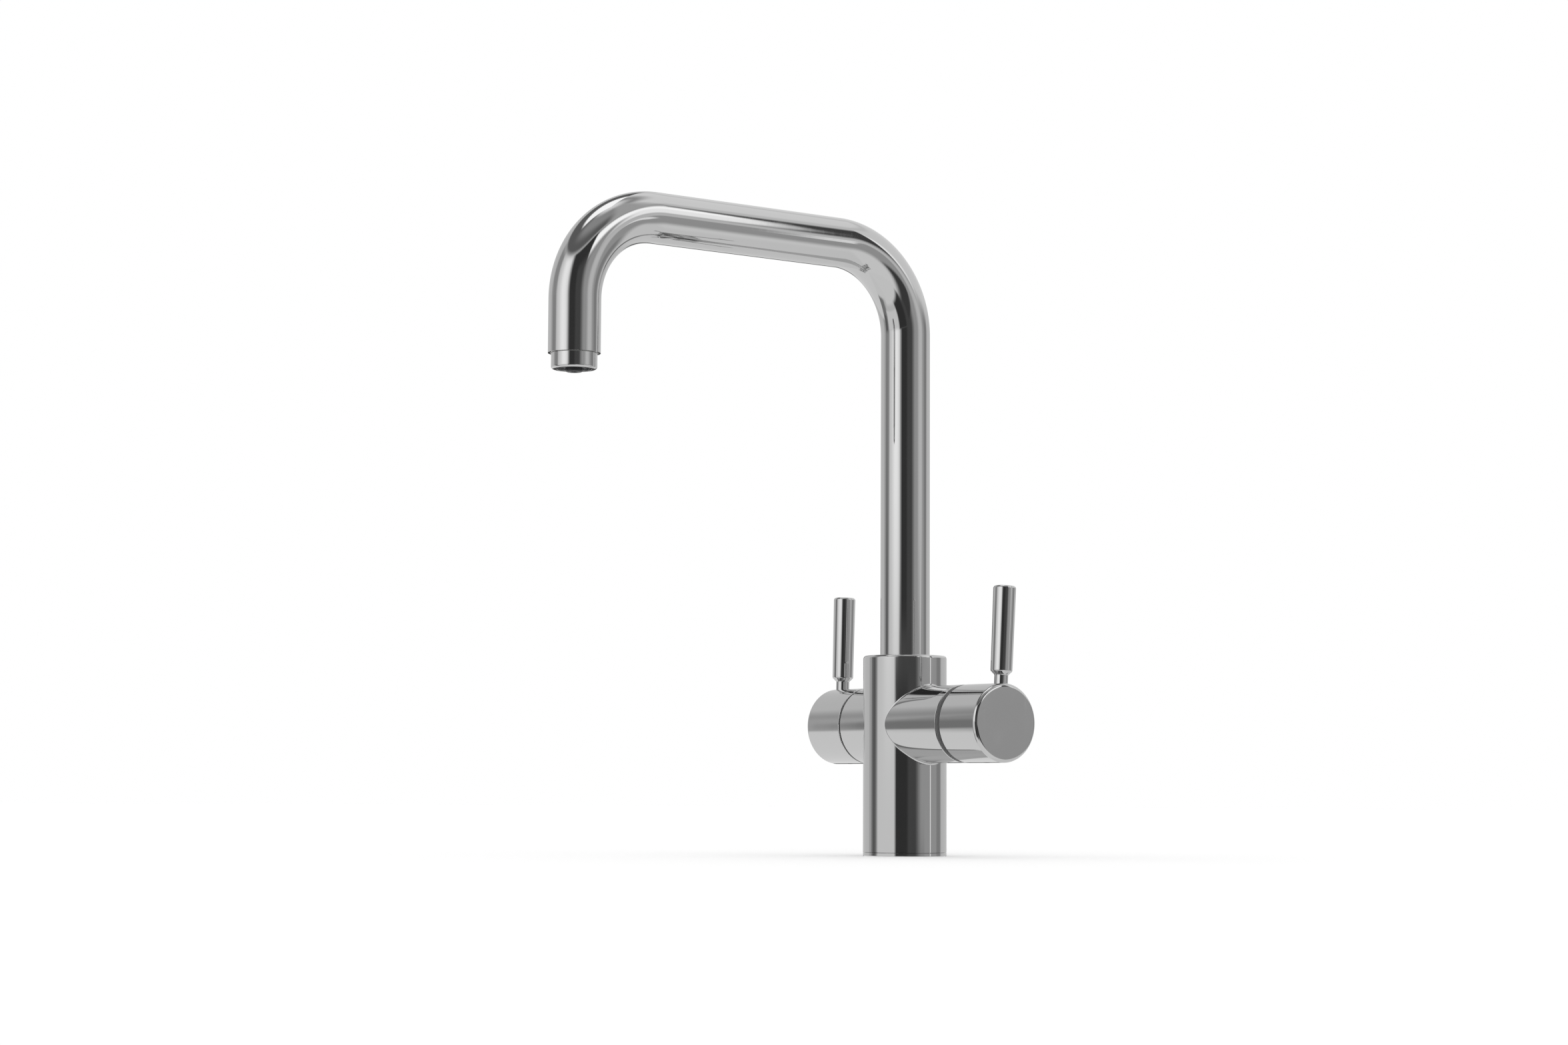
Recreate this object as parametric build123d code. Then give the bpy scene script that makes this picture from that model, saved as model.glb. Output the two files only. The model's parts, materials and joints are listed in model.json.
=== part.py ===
from build123d import *
import os
from math import cos, radians, sin

# Boiling water tap: a cross-shaped body, a swivelling U spout and two lever handles.
# Millimetres, +Z up. The origin is the centre of the base, on the worktop.
# The spout reaches towards -Y. The mixer handle is on the -X side, the boiling handle on +X.

# Clearances
fixed_gap = 0.05        # pieces clamped, screwed or brazed together
shaft_gap = 0.1         # radial, a shaft in its bore
slide_gap = 0.3         # surfaces that move past each other
overrun = 1.0           # how far cutters and joined shapes run past a face

# Body
body_radius = 24.0
body_edge = 1.8
barrel_inset = 2.0
barrel_axis_height = 74.8
joint_fillet = 1.2
mixer_bore_floor = 11.0
boil_bore_floor = 28.0
cartridge_bore_radius = 16.0
nut_ledge = 1.5
recess_wall = 4.0
recess_roof = 16.8
port_radius = 4.5
port_depth = 12.0
stud_hole_radius = 3.4
stud_hole_depth = 16.0
stud_offset_x = 3.0
stud_offset_y = 13.5
passage_radius = 2.2
passage_wall = 0.8
mixer_inlet_drop = 4.0
mixer_port_spread = 7.5
mixer_outlet_rise = 8.5
boil_inlet_x = 9.0

# Base
base_ring_height = 2.0
base_groove = 0.25
base_lip_height = 2.5
base_lip_wall = 1.2
gasket_inset = 1.2
gasket_width = 1.6
gasket_depth = 1.2
gasket_edge = 0.3

# Spout
tube_radius = 14.25
tube_wall = 1.2
spout_rise = 235.7
spout_reach = 226.0
spout_drop = 79.4
spout_bend_radius = 50.0
tube_engagement = 7.8
filter_tube_radius = 3.0
filter_tube_wall = 1.0

# Spout socket and swivel spigot
socket_wall = 3.0
upper_bush_wall = 1.6
upper_bush_height = 4.6
upper_bush_recess = 0.4
lower_bush_height = 3.5
spigot_step = 2.5
spigot_plug_length = 20.0
spigot_land_edge = 0.145
oring_radius = 0.9
oring_squeeze = 0.08
oring_wall = 1.12
retaining_groove_depth = 1.7
mains_hole_radius = 2.2
mains_hole_circle = 9.0
mains_hole_count = 6
mains_groove_depth = 2.0
mains_groove_margin = 0.3
centre_stub_radius = 4.0
centre_stub_length = 8.0
centre_chamber_depth = 5.0
centre_oring_radius = 0.7
retaining_screw_radius = 2.0
retaining_tip_radius = 1.2
retaining_screw_sink = 1.0

# Outlet
sleeve_wall = 1.1
sleeve_length = 15.0
aerator_step = 0.65
aerator_drop = 8.7
aerator_edge = 1.3
aerator_shank_length = 8.8
aerator_wall = 1.45
aerator_lip = 1.0
aerator_lip_height = 1.4
aerator_seal_height = 1.5
insert_wall = 1.3
insert_floor = 2.5
insert_collar_wall = 1.1
insert_collar_height = 2.5
insert_slot_count = 20
insert_slot_width = 0.9
nozzle_radius = 4.6
nozzle_protrusion = 1.5
nozzle_flange = 1.2
nozzle_edge = 0.8
nozzle_socket_depth = 6.0

# Hubs and levers
mixer_seam_gap = 1.4
pushed_seam_gap = 1.0
push_travel = 2.8
hub_length = 31.7
hub_edge = 2.4
hub_seam_edge = 0.4
hub_bore_end_wall = 6.5
mixer_boss_radius = 9.0
boil_boss_radius = 8.0
lever_inset = 5.7
lever_height = 54.3
lever_neck_height = 4.6
lever_neck_radius = 3.9
lever_shoulder_height = 2.2
lever_foot_radius = 6.1
lever_top_radius = 6.4
lever_top_edge = 1.5
lever_stud_radius = 3.0
lever_stud_length = 10.0
lever_seat_depth = 1.0
lever_hole_wall = 1.25
mixer_lean = 1.4
boil_lean = 3.0
lever_turn = 90.0
hub_screw_radius = 2.0
hub_screw_access = 2.6
boil_screw_tip_radius = 1.2
boil_slot_depth = 1.3
screw_socket_depth = 2.0
screw_hexagon = 0.55    # share of the screw's radius
screw_chamfer = 0.15    # share of the screw's radius
guide_radius = 18.1
guide_wall = 2.2
guide_seat_depth = 2.2
mixer_guide_length = 6.0
mixer_flange_inset = 0.8
boil_guide_length = 11.0

# Mixer cartridge, distances along its axis
mixer_seal_height = 1.0
mixer_base_height = 2.0
mixer_disc_height = 3.0
mixer_driver_height = 3.0
mixer_port_radius = 2.6
mixing_rim = 1.8
mixing_inner_radius = 4.0
mixing_angle = 150.0
mixer_chamber_radius = 13.4
mixer_roof_height = 3.4
mixer_neck_radius = 10.5
mixer_neck_reach = 8.8
mixer_spindle_radius = 5.0
spline_step = 0.3
spline_depth = 0.5
spline_count = 20
mixer_nut_height = 4.0
mixer_boss_gap = 2.0

# Boiling water valve, distances along its axis
boil_seal_height = 1.2
boil_disc_height = 3.0
boil_driver_height = 3.0
boil_chamber_radius = 7.6
gate_rim = 1.4
gate_inner_radius = 1.8
gate_angle = 70.0
boil_housing_radius = 9.0
boil_shell_length = 2.5
boil_flange_length = 8.0
boil_neck_radius = 9.0
boil_neck_reach = 5.0
boil_spindle_radius = 4.6
drive_step = 0.8
drive_flat_depth = 0.8
boil_nut_height = 3.5
window_width = 8.0
spring_seat_radius = 7.5
spring_seat_height = 1.0
spring_seat_gap = 1.2
spring_length = 9.8
spring_radius = 5.6
spring_wire_radius = 0.5
spring_turns = 4.0

# Stops and drivers
stop_key_angle = 24.0
stop_clearance_angle = 3.0
stop_key_depth = 1.4
mixer_key_reach = 2.8
boil_key_reach = 2.0
driver_lug_width = 4.0
driver_lug_depth = 1.0
disc_hollow_depth = 1.2
nut_notch_count = 4
nut_notch_width = 3.0
nut_notch_depth = 1.5

# Worked out from the sizes above: radii
barrel_radius = body_radius - barrel_inset
recess_radius = body_radius - recess_wall
tube_bore_radius = tube_radius - tube_wall
filter_bore_radius = filter_tube_radius - filter_tube_wall
socket_radius = tube_radius + shaft_gap + upper_bush_wall + fixed_gap
spigot_radius = socket_radius - slide_gap
spigot_foot_radius = spigot_radius - spigot_step
retaining_groove_width = 2 * (retaining_tip_radius + slide_gap)
gasket_inner_radius = recess_radius + gasket_inset
gasket_outer_radius = gasket_inner_radius + gasket_width
sleeve_radius = tube_bore_radius - fixed_gap
sleeve_bore_radius = sleeve_radius - sleeve_wall
shank_radius = sleeve_bore_radius - fixed_gap
aerator_radius = shank_radius + aerator_step
aerator_bore_radius = shank_radius - aerator_wall
aerator_lip_radius = aerator_bore_radius - aerator_lip
insert_radius = aerator_bore_radius - fixed_gap
nozzle_bore_gap = nozzle_radius + fixed_gap
cartridge_radius = cartridge_bore_radius - slide_gap
nut_thread_radius = cartridge_bore_radius + nut_ledge
hub_bore_radius = guide_radius + slide_gap
mixer_driver_radius = mixer_chamber_radius - slide_gap
boil_driver_radius = boil_chamber_radius - slide_gap
spline_radius = mixer_spindle_radius - spline_step
drive_radius = boil_spindle_radius - drive_step
drive_flat = drive_radius - drive_flat_depth
drive_slot_floor = drive_flat - boil_slot_depth

# Worked out: heights
recess_height = barrel_axis_height - barrel_radius - recess_roof
socket_floor = barrel_axis_height + cartridge_bore_radius + socket_wall
spigot_shoulder = socket_floor + lower_bush_height + fixed_gap
spigot_bottom = socket_floor + shaft_gap
spigot_oring_step = retaining_groove_width / 2 + oring_wall + oring_radius + oring_squeeze
spigot_land_half = spigot_oring_step + oring_radius + oring_squeeze + spigot_land_edge
spigot_middle = spigot_shoulder + spigot_land_half
tube_bottom = spigot_middle + spigot_land_half
spigot_top = tube_bottom + spigot_plug_length
body_top = tube_bottom + tube_engagement
stub_end = socket_floor - centre_stub_length
centre_bore_floor = stub_end - centre_chamber_depth
centre_oring_height = socket_floor - centre_stub_length / 2
filter_tube_bottom = spigot_shoulder + 2 * fixed_gap
spout_axis_height = body_top + spout_rise
outlet_step_height = spout_axis_height - spout_drop
outlet_bottom = outlet_step_height - aerator_drop
nozzle_bottom = outlet_bottom - nozzle_protrusion
insert_bottom = outlet_bottom + aerator_lip_height + fixed_gap
shank_top = outlet_step_height + aerator_shank_length
nozzle_top = shank_top - fixed_gap

# Worked out: distances along the mixer side's axis
mixer_inlet_x = mixer_bore_floor - passage_radius - passage_wall
mixer_base_start = mixer_bore_floor + mixer_seal_height + fixed_gap
mixer_fixed_start = mixer_base_start + mixer_base_height + fixed_gap
mixer_moving_start = mixer_fixed_start + mixer_disc_height + fixed_gap
mixer_driver_start = mixer_moving_start + mixer_disc_height + fixed_gap
mixer_chamber_end = mixer_driver_start + mixer_driver_height + slide_gap
mixer_shoulder = mixer_chamber_end + mixer_roof_height
mixer_oring_place = mixer_chamber_end + mixer_roof_height / 2
mixer_guide_start = mixer_shoulder + mixer_nut_height + 2 * fixed_gap
mixer_barrel_reach = mixer_guide_start + guide_seat_depth
mixer_neck_end = mixer_barrel_reach + mixer_neck_reach
mixer_hub_start = mixer_barrel_reach + mixer_seam_gap

# Worked out: distances along the boiling side's axis
boil_housing_start = boil_bore_floor + boil_seal_height + fixed_gap
boil_fixed_start = boil_housing_start + fixed_gap
boil_moving_start = boil_fixed_start + boil_disc_height + fixed_gap
boil_driver_start = boil_moving_start + boil_disc_height + fixed_gap
boil_chamber_end = boil_driver_start + boil_driver_height + slide_gap
boil_flange_start = boil_chamber_end + boil_shell_length
boil_flange_end = boil_flange_start + boil_flange_length
boil_oring_place = (boil_flange_start + boil_flange_end) / 2
boil_guide_start = boil_flange_end + boil_nut_height + 2 * fixed_gap
boil_barrel_reach = boil_guide_start + guide_seat_depth
boil_neck_end = boil_barrel_reach + boil_neck_reach
boil_hub_start = boil_barrel_reach + pushed_seam_gap + push_travel
spring_seat_start = boil_neck_end + spring_seat_gap
spring_start = spring_seat_start + spring_seat_height

# Worked out: distances from a hub's seam edge
hub_bore_end = hub_length - hub_bore_end_wall
lever_place = hub_length - lever_inset
boss_end = lever_place - lever_stud_radius - fixed_gap - lever_hole_wall
mixer_boss_start = mixer_neck_end + mixer_boss_gap - mixer_hub_start
boil_boss_start = spring_start + spring_length - boil_hub_start
mixer_screw_place = (mixer_boss_start + boss_end) / 2
boil_screw_place = (boil_boss_start + boss_end) / 2
mixer_spindle_end = mixer_hub_start + hub_bore_end - slide_gap
boil_spindle_end = boil_hub_start + hub_bore_end - push_travel - slide_gap

FROM_BASE = (Align.CENTER, Align.CENTER, Align.MIN)


# Shapes used again and again

def cylinder(radius, low, high):
    """Upright cylinder between two heights."""
    return Pos(0, 0, low) * Cylinder(radius, high - low, align=FROM_BASE)


def ring(outer, inner, low, high):
    """Upright tube between two heights."""
    return cylinder(outer, low, high) - cylinder(inner, low - overrun, high + overrun)


def turned(*corners):
    """Solid turned about Z from (radius, height) corners."""
    outline = Polyline(*[(radius, 0, height) for radius, height in corners], close=True)
    return revolve(make_face(outline), Axis.Z)


def round_rim(shape, rim_radius, height, size):
    """Round the circular edges of one radius at one height."""
    rims = [
        edge
        for edge in shape.edges().filter_by(GeomType.CIRCLE)
        if abs(edge.radius - rim_radius) < 0.001 and abs(edge.arc_center.Z - height) < 0.001
    ]
    return fillet(rims, size)


def sector(outer, inner, low, high, middle_angle, span):
    """Part of a ring, seen from above, centred on an angle in degrees."""
    def corner(radius, angle):
        return (radius * cos(radians(angle)), radius * sin(radians(angle)))

    first = middle_angle - span / 2
    last = middle_angle + span / 2
    outline = [
        Line(corner(inner, first), corner(outer, first)),
        ThreePointArc(corner(outer, first), corner(outer, middle_angle), corner(outer, last)),
        Line(corner(outer, last), corner(inner, last)),
        ThreePointArc(corner(inner, last), corner(inner, middle_angle), corner(inner, first)),
    ]
    return Pos(0, 0, low) * extrude(make_face(outline), high - low)


def on_circle(shape, radius, count):
    """Copies of a shape set round the Z axis, as a list."""
    return [place * shape for place in PolarLocations(radius, count)]


def oring(bore_radius, height, cord_radius):
    """Rubber ring that just reaches a bore."""
    return Pos(0, 0, height) * Torus(bore_radius - cord_radius - oring_squeeze / 2, cord_radius)


def oring_groove(outer, bore_radius, height, cord_radius):
    """Cutter for the groove that an O-ring lies in."""
    floor = bore_radius - 2 * cord_radius - oring_squeeze
    half = cord_radius + oring_squeeze
    return ring(outer + overrun, floor, height - half, height + half)


def grub_screw(radius, low, high):
    """Headless screw between two heights, with its hexagon socket at the top."""
    screw = cylinder(radius, low, high)
    key = extrude(RegularPolygon(radius * screw_hexagon, 6), screw_socket_depth + overrun)
    screw = chamfer(screw.edges().filter_by(GeomType.CIRCLE), radius * screw_chamfer)
    return screw - Pos(0, 0, high - screw_socket_depth) * key


# Frames of the two barrels: local Z points outwards along the barrel, local -X points up

boil_side = Pos(0, 0, barrel_axis_height) * Rot(0, 90, 0)
mixer_side = Rot(0, 0, 180) * boil_side
boil_handle_side = boil_side * Rot(0, 0, -boil_lean)
mixer_handle_side = mixer_side * Rot(0, 0, mixer_lean)
LOCAL_UP = Rot(0, -90, 0)
LOCAL_DOWN = Rot(0, 90, 0)


# Body and base

def water_ways():
    """Threaded ports in the recess roof and the drillings up to the cartridges and the socket."""
    port_top = recess_height + port_depth
    branch_length = mixer_bore_floor - mixer_inlet_x + overrun
    ways = []
    for side in (-1, 1):
        place = Pos(-mixer_inlet_x, side * mixer_port_spread, 0)
        cross_height = barrel_axis_height - mixer_inlet_drop
        ways.append(place * cylinder(port_radius, recess_height - overrun, port_top))
        ways.append(place * cylinder(passage_radius, port_top - overrun, cross_height + passage_radius))
        branch = place * Pos(0, 0, cross_height) * Rot(0, -90, 0)
        ways.append(branch * cylinder(passage_radius, 0, branch_length))
        stud_hole = cylinder(stud_hole_radius, recess_height - overrun, recess_height + stud_hole_depth)
        ways.append(Pos(stud_offset_x, side * stud_offset_y, 0) * stud_hole)
    outlet_height = barrel_axis_height + mixer_outlet_rise
    outlet = Pos(-mixer_inlet_x, 0, outlet_height)
    riser_top = socket_floor - outlet_height + overrun
    ways.append(outlet * cylinder(passage_radius, -passage_radius, riser_top))
    ways.append(outlet * Rot(0, -90, 0) * cylinder(passage_radius, 0, branch_length))
    boil_inlet = Pos(boil_inlet_x, 0, 0)
    riser_top = barrel_axis_height + passage_radius
    ways.append(boil_inlet * cylinder(port_radius, recess_height - overrun, port_top))
    ways.append(boil_inlet * cylinder(passage_radius, port_top - overrun, riser_top))
    ways.append(boil_side * cylinder(passage_radius, boil_inlet_x, boil_bore_floor + overrun))
    boil_outlet = Pos(0, 0, (stub_end + centre_bore_floor) / 2) * Rot(0, 90, 0)
    ways.append(boil_outlet * cylinder(passage_radius, 0, boil_bore_floor + overrun))
    return ways


def tap_body():
    upright = cylinder(body_radius, base_ring_height, body_top)
    boil_barrel = boil_side * cylinder(barrel_radius, 0, boil_barrel_reach)
    mixer_barrel = mixer_side * cylinder(barrel_radius, 0, mixer_barrel_reach)
    body = upright + boil_barrel + mixer_barrel
    joints = [edge for edge in body.edges() if edge.geom_type not in (GeomType.CIRCLE, GeomType.LINE)]
    body = fillet(joints, joint_fillet)
    body = round_rim(body, body_radius, body_top, body_edge)
    circles = body.edges().filter_by(GeomType.CIRCLE)
    foot = [edge for edge in circles if abs(edge.arc_center.Z - base_ring_height) < 0.001]
    body = chamfer(foot, base_groove)
    circles = body.edges().filter_by(GeomType.CIRCLE)
    seam_rims = [edge for edge in circles if abs(edge.arc_center.X) > body_radius]
    body = fillet(seam_rims, hub_seam_edge)
    body -= cylinder(recess_radius, 0, recess_height)
    body -= cylinder(socket_radius, socket_floor, body_top + overrun)
    body -= cylinder(centre_stub_radius + shaft_gap, centre_bore_floor, socket_floor + overrun)
    body -= mixer_side * cylinder(cartridge_bore_radius, mixer_bore_floor, mixer_barrel_reach + overrun)
    body -= mixer_side * cylinder(nut_thread_radius, mixer_shoulder, mixer_barrel_reach + overrun)
    body -= boil_side * cylinder(cartridge_bore_radius, boil_bore_floor, boil_barrel_reach + overrun)
    body -= boil_side * cylinder(nut_thread_radius, boil_flange_end, boil_barrel_reach + overrun)
    body -= retaining_screw_frame() * cylinder(retaining_screw_radius + fixed_gap, 0, body_radius)
    for way in water_ways():
        body -= way
    return body


def base_ring():
    lip_radius = recess_radius - fixed_gap
    outline = turned(
        (lip_radius - base_lip_wall, 0),
        (body_radius, 0),
        (body_radius, base_ring_height - fixed_gap),
        (lip_radius, base_ring_height - fixed_gap),
        (lip_radius, base_ring_height + base_lip_height),
        (lip_radius - base_lip_wall, base_ring_height + base_lip_height),
    )
    outline = chamfer(
        [edge for edge in outline.edges().filter_by(GeomType.CIRCLE) if edge.radius > body_radius - 0.001],
        base_groove,
    )
    groove_top = gasket_depth + fixed_gap
    groove = ring(gasket_outer_radius + fixed_gap, gasket_inner_radius - fixed_gap, -overrun, groove_top)
    return outline - groove


def base_gasket():
    gasket = ring(gasket_outer_radius, gasket_inner_radius, 0, gasket_depth)
    return round_rim(gasket, gasket_outer_radius, gasket_depth, gasket_edge)


# Spout and its swivel

def spout_path(start, end):
    """The spout's centre line, from a height on the column to a height above the outlet."""
    return FilletPolyline(
        (0, 0, start),
        (0, 0, spout_axis_height),
        (0, -spout_reach, spout_axis_height),
        (0, -spout_reach, end),
        radius=spout_bend_radius,
    )


def bent_tube(outer, wall, start, end):
    section = Plane.XY.offset(start) * (Circle(outer) - Circle(outer - wall))
    return sweep(section, path=spout_path(start, end))


def spout_spigot():
    plug_radius = tube_bore_radius - fixed_gap
    spigot = turned(
        (0, stub_end),
        (centre_stub_radius, stub_end),
        (centre_stub_radius, spigot_bottom),
        (spigot_foot_radius, spigot_bottom),
        (spigot_foot_radius, spigot_shoulder),
        (spigot_radius, spigot_shoulder),
        (spigot_radius, tube_bottom - fixed_gap),
        (plug_radius, tube_bottom - fixed_gap),
        (plug_radius, spigot_top),
        (0, spigot_top),
    )
    for side in (-1, 1):
        height = spigot_middle + side * spigot_oring_step
        spigot -= oring_groove(spigot_radius, socket_radius, height, oring_radius)
    groove_low = spigot_middle - retaining_groove_width / 2
    groove_floor = spigot_radius - retaining_groove_depth
    spigot -= ring(spigot_radius + overrun, groove_floor, groove_low, groove_low + retaining_groove_width)
    centre_bore_radius = centre_stub_radius + shaft_gap
    spigot -= oring_groove(centre_stub_radius, centre_bore_radius, centre_oring_height, centre_oring_radius)
    spigot -= cylinder(filter_tube_radius + fixed_gap, spigot_shoulder, spigot_top + overrun)
    spigot -= cylinder(filter_bore_radius, stub_end - overrun, spigot_shoulder + overrun)
    mains_hole = cylinder(mains_hole_radius, spigot_bottom - overrun, spigot_top + overrun)
    for hole in on_circle(mains_hole, mains_hole_circle, mains_hole_count):
        spigot -= hole
    half = mains_hole_radius + mains_groove_margin
    groove_top = spigot_bottom + mains_groove_depth
    spigot -= ring(mains_hole_circle + half, mains_hole_circle - half, spigot_bottom, groove_top)
    return spigot


def spigot_orings():
    heights = [spigot_middle + side * spigot_oring_step for side in (-1, 1)]
    return Compound([oring(socket_radius, height, oring_radius) for height in heights])


def centre_oring():
    return oring(centre_stub_radius + shaft_gap, centre_oring_height, centre_oring_radius)


def upper_bush():
    top = body_top - upper_bush_recess
    return ring(socket_radius - fixed_gap, tube_radius + shaft_gap, top - upper_bush_height, top)


def lower_bush():
    bore = spigot_foot_radius + shaft_gap
    return ring(socket_radius - fixed_gap, bore, socket_floor, socket_floor + lower_bush_height)


def retaining_screw_frame():
    """Local Z runs from the body's axis out through its back wall."""
    return Pos(0, 0, spigot_middle) * Rot(-90, 0, 0)


def spout_retaining_screw():
    tip_start = spigot_radius - retaining_groove_depth + slide_gap
    thread_start = socket_radius + slide_gap
    screw = grub_screw(retaining_screw_radius, thread_start, body_radius - retaining_screw_sink)
    screw += cylinder(retaining_tip_radius, tip_start, thread_start + overrun)
    return retaining_screw_frame() * screw


# Outlet

outlet_place = Pos(0, -spout_reach, 0)


def outlet_sleeve():
    top = outlet_step_height + sleeve_length
    seat = shank_top + aerator_seal_height + 2 * fixed_gap
    sleeve = ring(sleeve_radius, sleeve_bore_radius, outlet_step_height, seat)
    return outlet_place * (sleeve + ring(sleeve_radius, aerator_lip_radius, seat, top))


def aerator_housing():
    housing = turned(
        (aerator_lip_radius, outlet_bottom),
        (aerator_radius, outlet_bottom),
        (aerator_radius, outlet_step_height - fixed_gap),
        (shank_radius, outlet_step_height - fixed_gap),
        (shank_radius, shank_top),
        (aerator_bore_radius, shank_top),
        (aerator_bore_radius, outlet_bottom + aerator_lip_height),
        (aerator_lip_radius, outlet_bottom + aerator_lip_height),
    )
    return outlet_place * round_rim(housing, aerator_radius, outlet_bottom, aerator_edge)


def aerator_seal():
    low = shank_top + fixed_gap
    return outlet_place * ring(shank_radius, aerator_lip_radius, low, low + aerator_seal_height)


def aerator_insert():
    floor_top = insert_bottom + insert_floor
    collar_radius = nozzle_bore_gap + insert_collar_wall
    cup_radius = insert_radius - insert_wall
    insert = turned(
        (nozzle_bore_gap, insert_bottom),
        (insert_radius, insert_bottom),
        (insert_radius, shank_top - fixed_gap),
        (cup_radius, shank_top - fixed_gap),
        (cup_radius, floor_top),
        (collar_radius, floor_top),
        (collar_radius, floor_top + insert_collar_height),
        (nozzle_bore_gap, floor_top + insert_collar_height),
    )
    slot_length = cup_radius - collar_radius - 2 * fixed_gap
    slot = Box(slot_length, insert_slot_width, 4 * insert_floor, align=FROM_BASE)
    slot = Pos(0, 0, insert_bottom - insert_floor) * slot
    for cut in on_circle(slot, (cup_radius + collar_radius) / 2, insert_slot_count):
        insert -= cut
    return outlet_place * insert


def filtered_nozzle():
    flange_low = insert_bottom + insert_floor + insert_collar_height + fixed_gap
    nozzle = turned(
        (filter_bore_radius, nozzle_bottom),
        (nozzle_radius, nozzle_bottom),
        (nozzle_radius, flange_low),
        (nozzle_radius + nozzle_flange, flange_low),
        (nozzle_radius + nozzle_flange, flange_low + nozzle_flange),
        (nozzle_radius, flange_low + nozzle_flange),
        (nozzle_radius, nozzle_top),
        (filter_bore_radius, nozzle_top),
    )
    nozzle = round_rim(nozzle, nozzle_radius, nozzle_bottom, nozzle_edge)
    socket = cylinder(filter_tube_radius + fixed_gap, nozzle_top - nozzle_socket_depth, nozzle_top + overrun)
    return outlet_place * (nozzle - socket)


def filtered_water_tube():
    end = nozzle_top - nozzle_socket_depth + fixed_gap
    return bent_tube(filter_tube_radius, filter_tube_wall, filter_tube_bottom, end)


# Ceramic valves: stops, drivers and discs

def stop_key(outer, inner, chamber_end, lean):
    """Key under the chamber roof that the driver's groove turns against."""
    return sector(outer, inner, chamber_end - stop_key_depth, chamber_end + overrun, lean, stop_key_angle)


def stop_groove(outer, inner, driver_end, turn_sign):
    """Groove in the driver's face, long enough for the lever's turn."""
    span = stop_key_angle + lever_turn + 2 * stop_clearance_angle
    low = driver_end - stop_key_depth
    return sector(outer, inner, low, driver_end + overrun, -turn_sign * lever_turn / 2, span)


def driver_lugs(driver_radius, disc_end):
    """Two lugs that carry the driver's turn into the moving disc."""
    low = disc_end - driver_lug_depth
    high = disc_end + overrun
    bar = Pos(0, 0, low) * Box(driver_lug_width, 2 * driver_radius, high - low, align=FROM_BASE)
    return bar & ring(driver_radius, driver_radius - driver_lug_width, low, high)


def lug_notches(driver_radius, disc_end):
    """Notches in the moving disc's rim that take the driver's lugs."""
    low = disc_end - driver_lug_depth - shaft_gap
    high = disc_end + overrun
    width = driver_lug_width + 2 * shaft_gap
    bar = Pos(0, 0, low) * Box(width, 3 * driver_radius, high - low, align=FROM_BASE)
    return bar - cylinder(driver_radius - driver_lug_width - shaft_gap, low - overrun, high)


def mixer_ports():
    """Where the three ports of the mixer cartridge lie, in the barrel's frame."""
    return [
        Pos(mixer_inlet_drop, mixer_port_spread, 0),
        Pos(mixer_inlet_drop, -mixer_port_spread, 0),
        Pos(-mixer_outlet_rise, 0, 0),
    ]


def ported_plate(radius, low, height, hole_radius):
    plate = cylinder(radius, low, low + height)
    for place in mixer_ports():
        plate -= place * cylinder(hole_radius, low - overrun, low + height + overrun)
    return plate


# Mixer cartridge, in the body

def mixer_base_seal():
    radius = cartridge_radius - slide_gap
    hole_radius = mixer_port_radius + slide_gap
    return mixer_side * ported_plate(radius, mixer_bore_floor, mixer_seal_height, hole_radius)


def mixer_cartridge_base():
    radius = mixer_chamber_radius - fixed_gap
    return mixer_side * ported_plate(radius, mixer_base_start, mixer_base_height, mixer_port_radius)


def mixer_fixed_disc():
    radius = mixer_chamber_radius - fixed_gap
    return mixer_side * ported_plate(radius, mixer_fixed_start, mixer_disc_height, mixer_port_radius)


def mixer_cartridge_housing():
    housing = turned(
        (mixer_chamber_radius, mixer_base_start),
        (cartridge_radius, mixer_base_start),
        (cartridge_radius, mixer_shoulder),
        (mixer_neck_radius, mixer_shoulder),
        (mixer_neck_radius, mixer_neck_end),
        (mixer_spindle_radius + shaft_gap, mixer_neck_end),
        (mixer_spindle_radius + shaft_gap, mixer_chamber_end),
        (mixer_chamber_radius, mixer_chamber_end),
    )
    key_inner = mixer_driver_radius - mixer_key_reach
    housing += stop_key(mixer_chamber_radius + fixed_gap, key_inner, mixer_chamber_end, mixer_lean)
    housing -= oring_groove(cartridge_radius, cartridge_bore_radius, mixer_oring_place, oring_radius)
    return mixer_side * housing


def mixer_housing_oring():
    return mixer_side * oring(cartridge_bore_radius, mixer_oring_place, oring_radius)


def retaining_nut(bore, low, height):
    nut = ring(nut_thread_radius - fixed_gap, bore, low, low + height)
    notch = Box(2 * nut_notch_width, nut_notch_width, 2 * nut_notch_depth, align=FROM_BASE)
    notch = Pos(0, 0, low + height - nut_notch_depth) * notch
    for cut in on_circle(notch, nut_thread_radius, nut_notch_count):
        nut -= cut
    return nut


def mixer_retaining_nut():
    bore = mixer_neck_radius + slide_gap
    return mixer_side * retaining_nut(bore, mixer_shoulder + fixed_gap, mixer_nut_height)


def mixer_guide_ring():
    inner = guide_radius - guide_wall
    seat = nut_thread_radius - fixed_gap
    flange = barrel_radius - mixer_flange_inset
    return mixer_side * turned(
        (inner, mixer_guide_start),
        (seat, mixer_guide_start),
        (seat, mixer_barrel_reach + fixed_gap),
        (flange, mixer_barrel_reach + fixed_gap),
        (flange, mixer_hub_start - slide_gap),
        (guide_radius, mixer_hub_start - slide_gap),
        (guide_radius, mixer_barrel_reach + mixer_guide_length),
        (inner, mixer_barrel_reach + mixer_guide_length),
    )


# Boiling water valve, in the body

def boil_valve_seal():
    top = boil_bore_floor + boil_seal_height
    outer = boil_housing_radius - slide_gap
    return boil_side * ring(outer, boil_driver_radius - gate_rim, boil_bore_floor, top)


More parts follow.
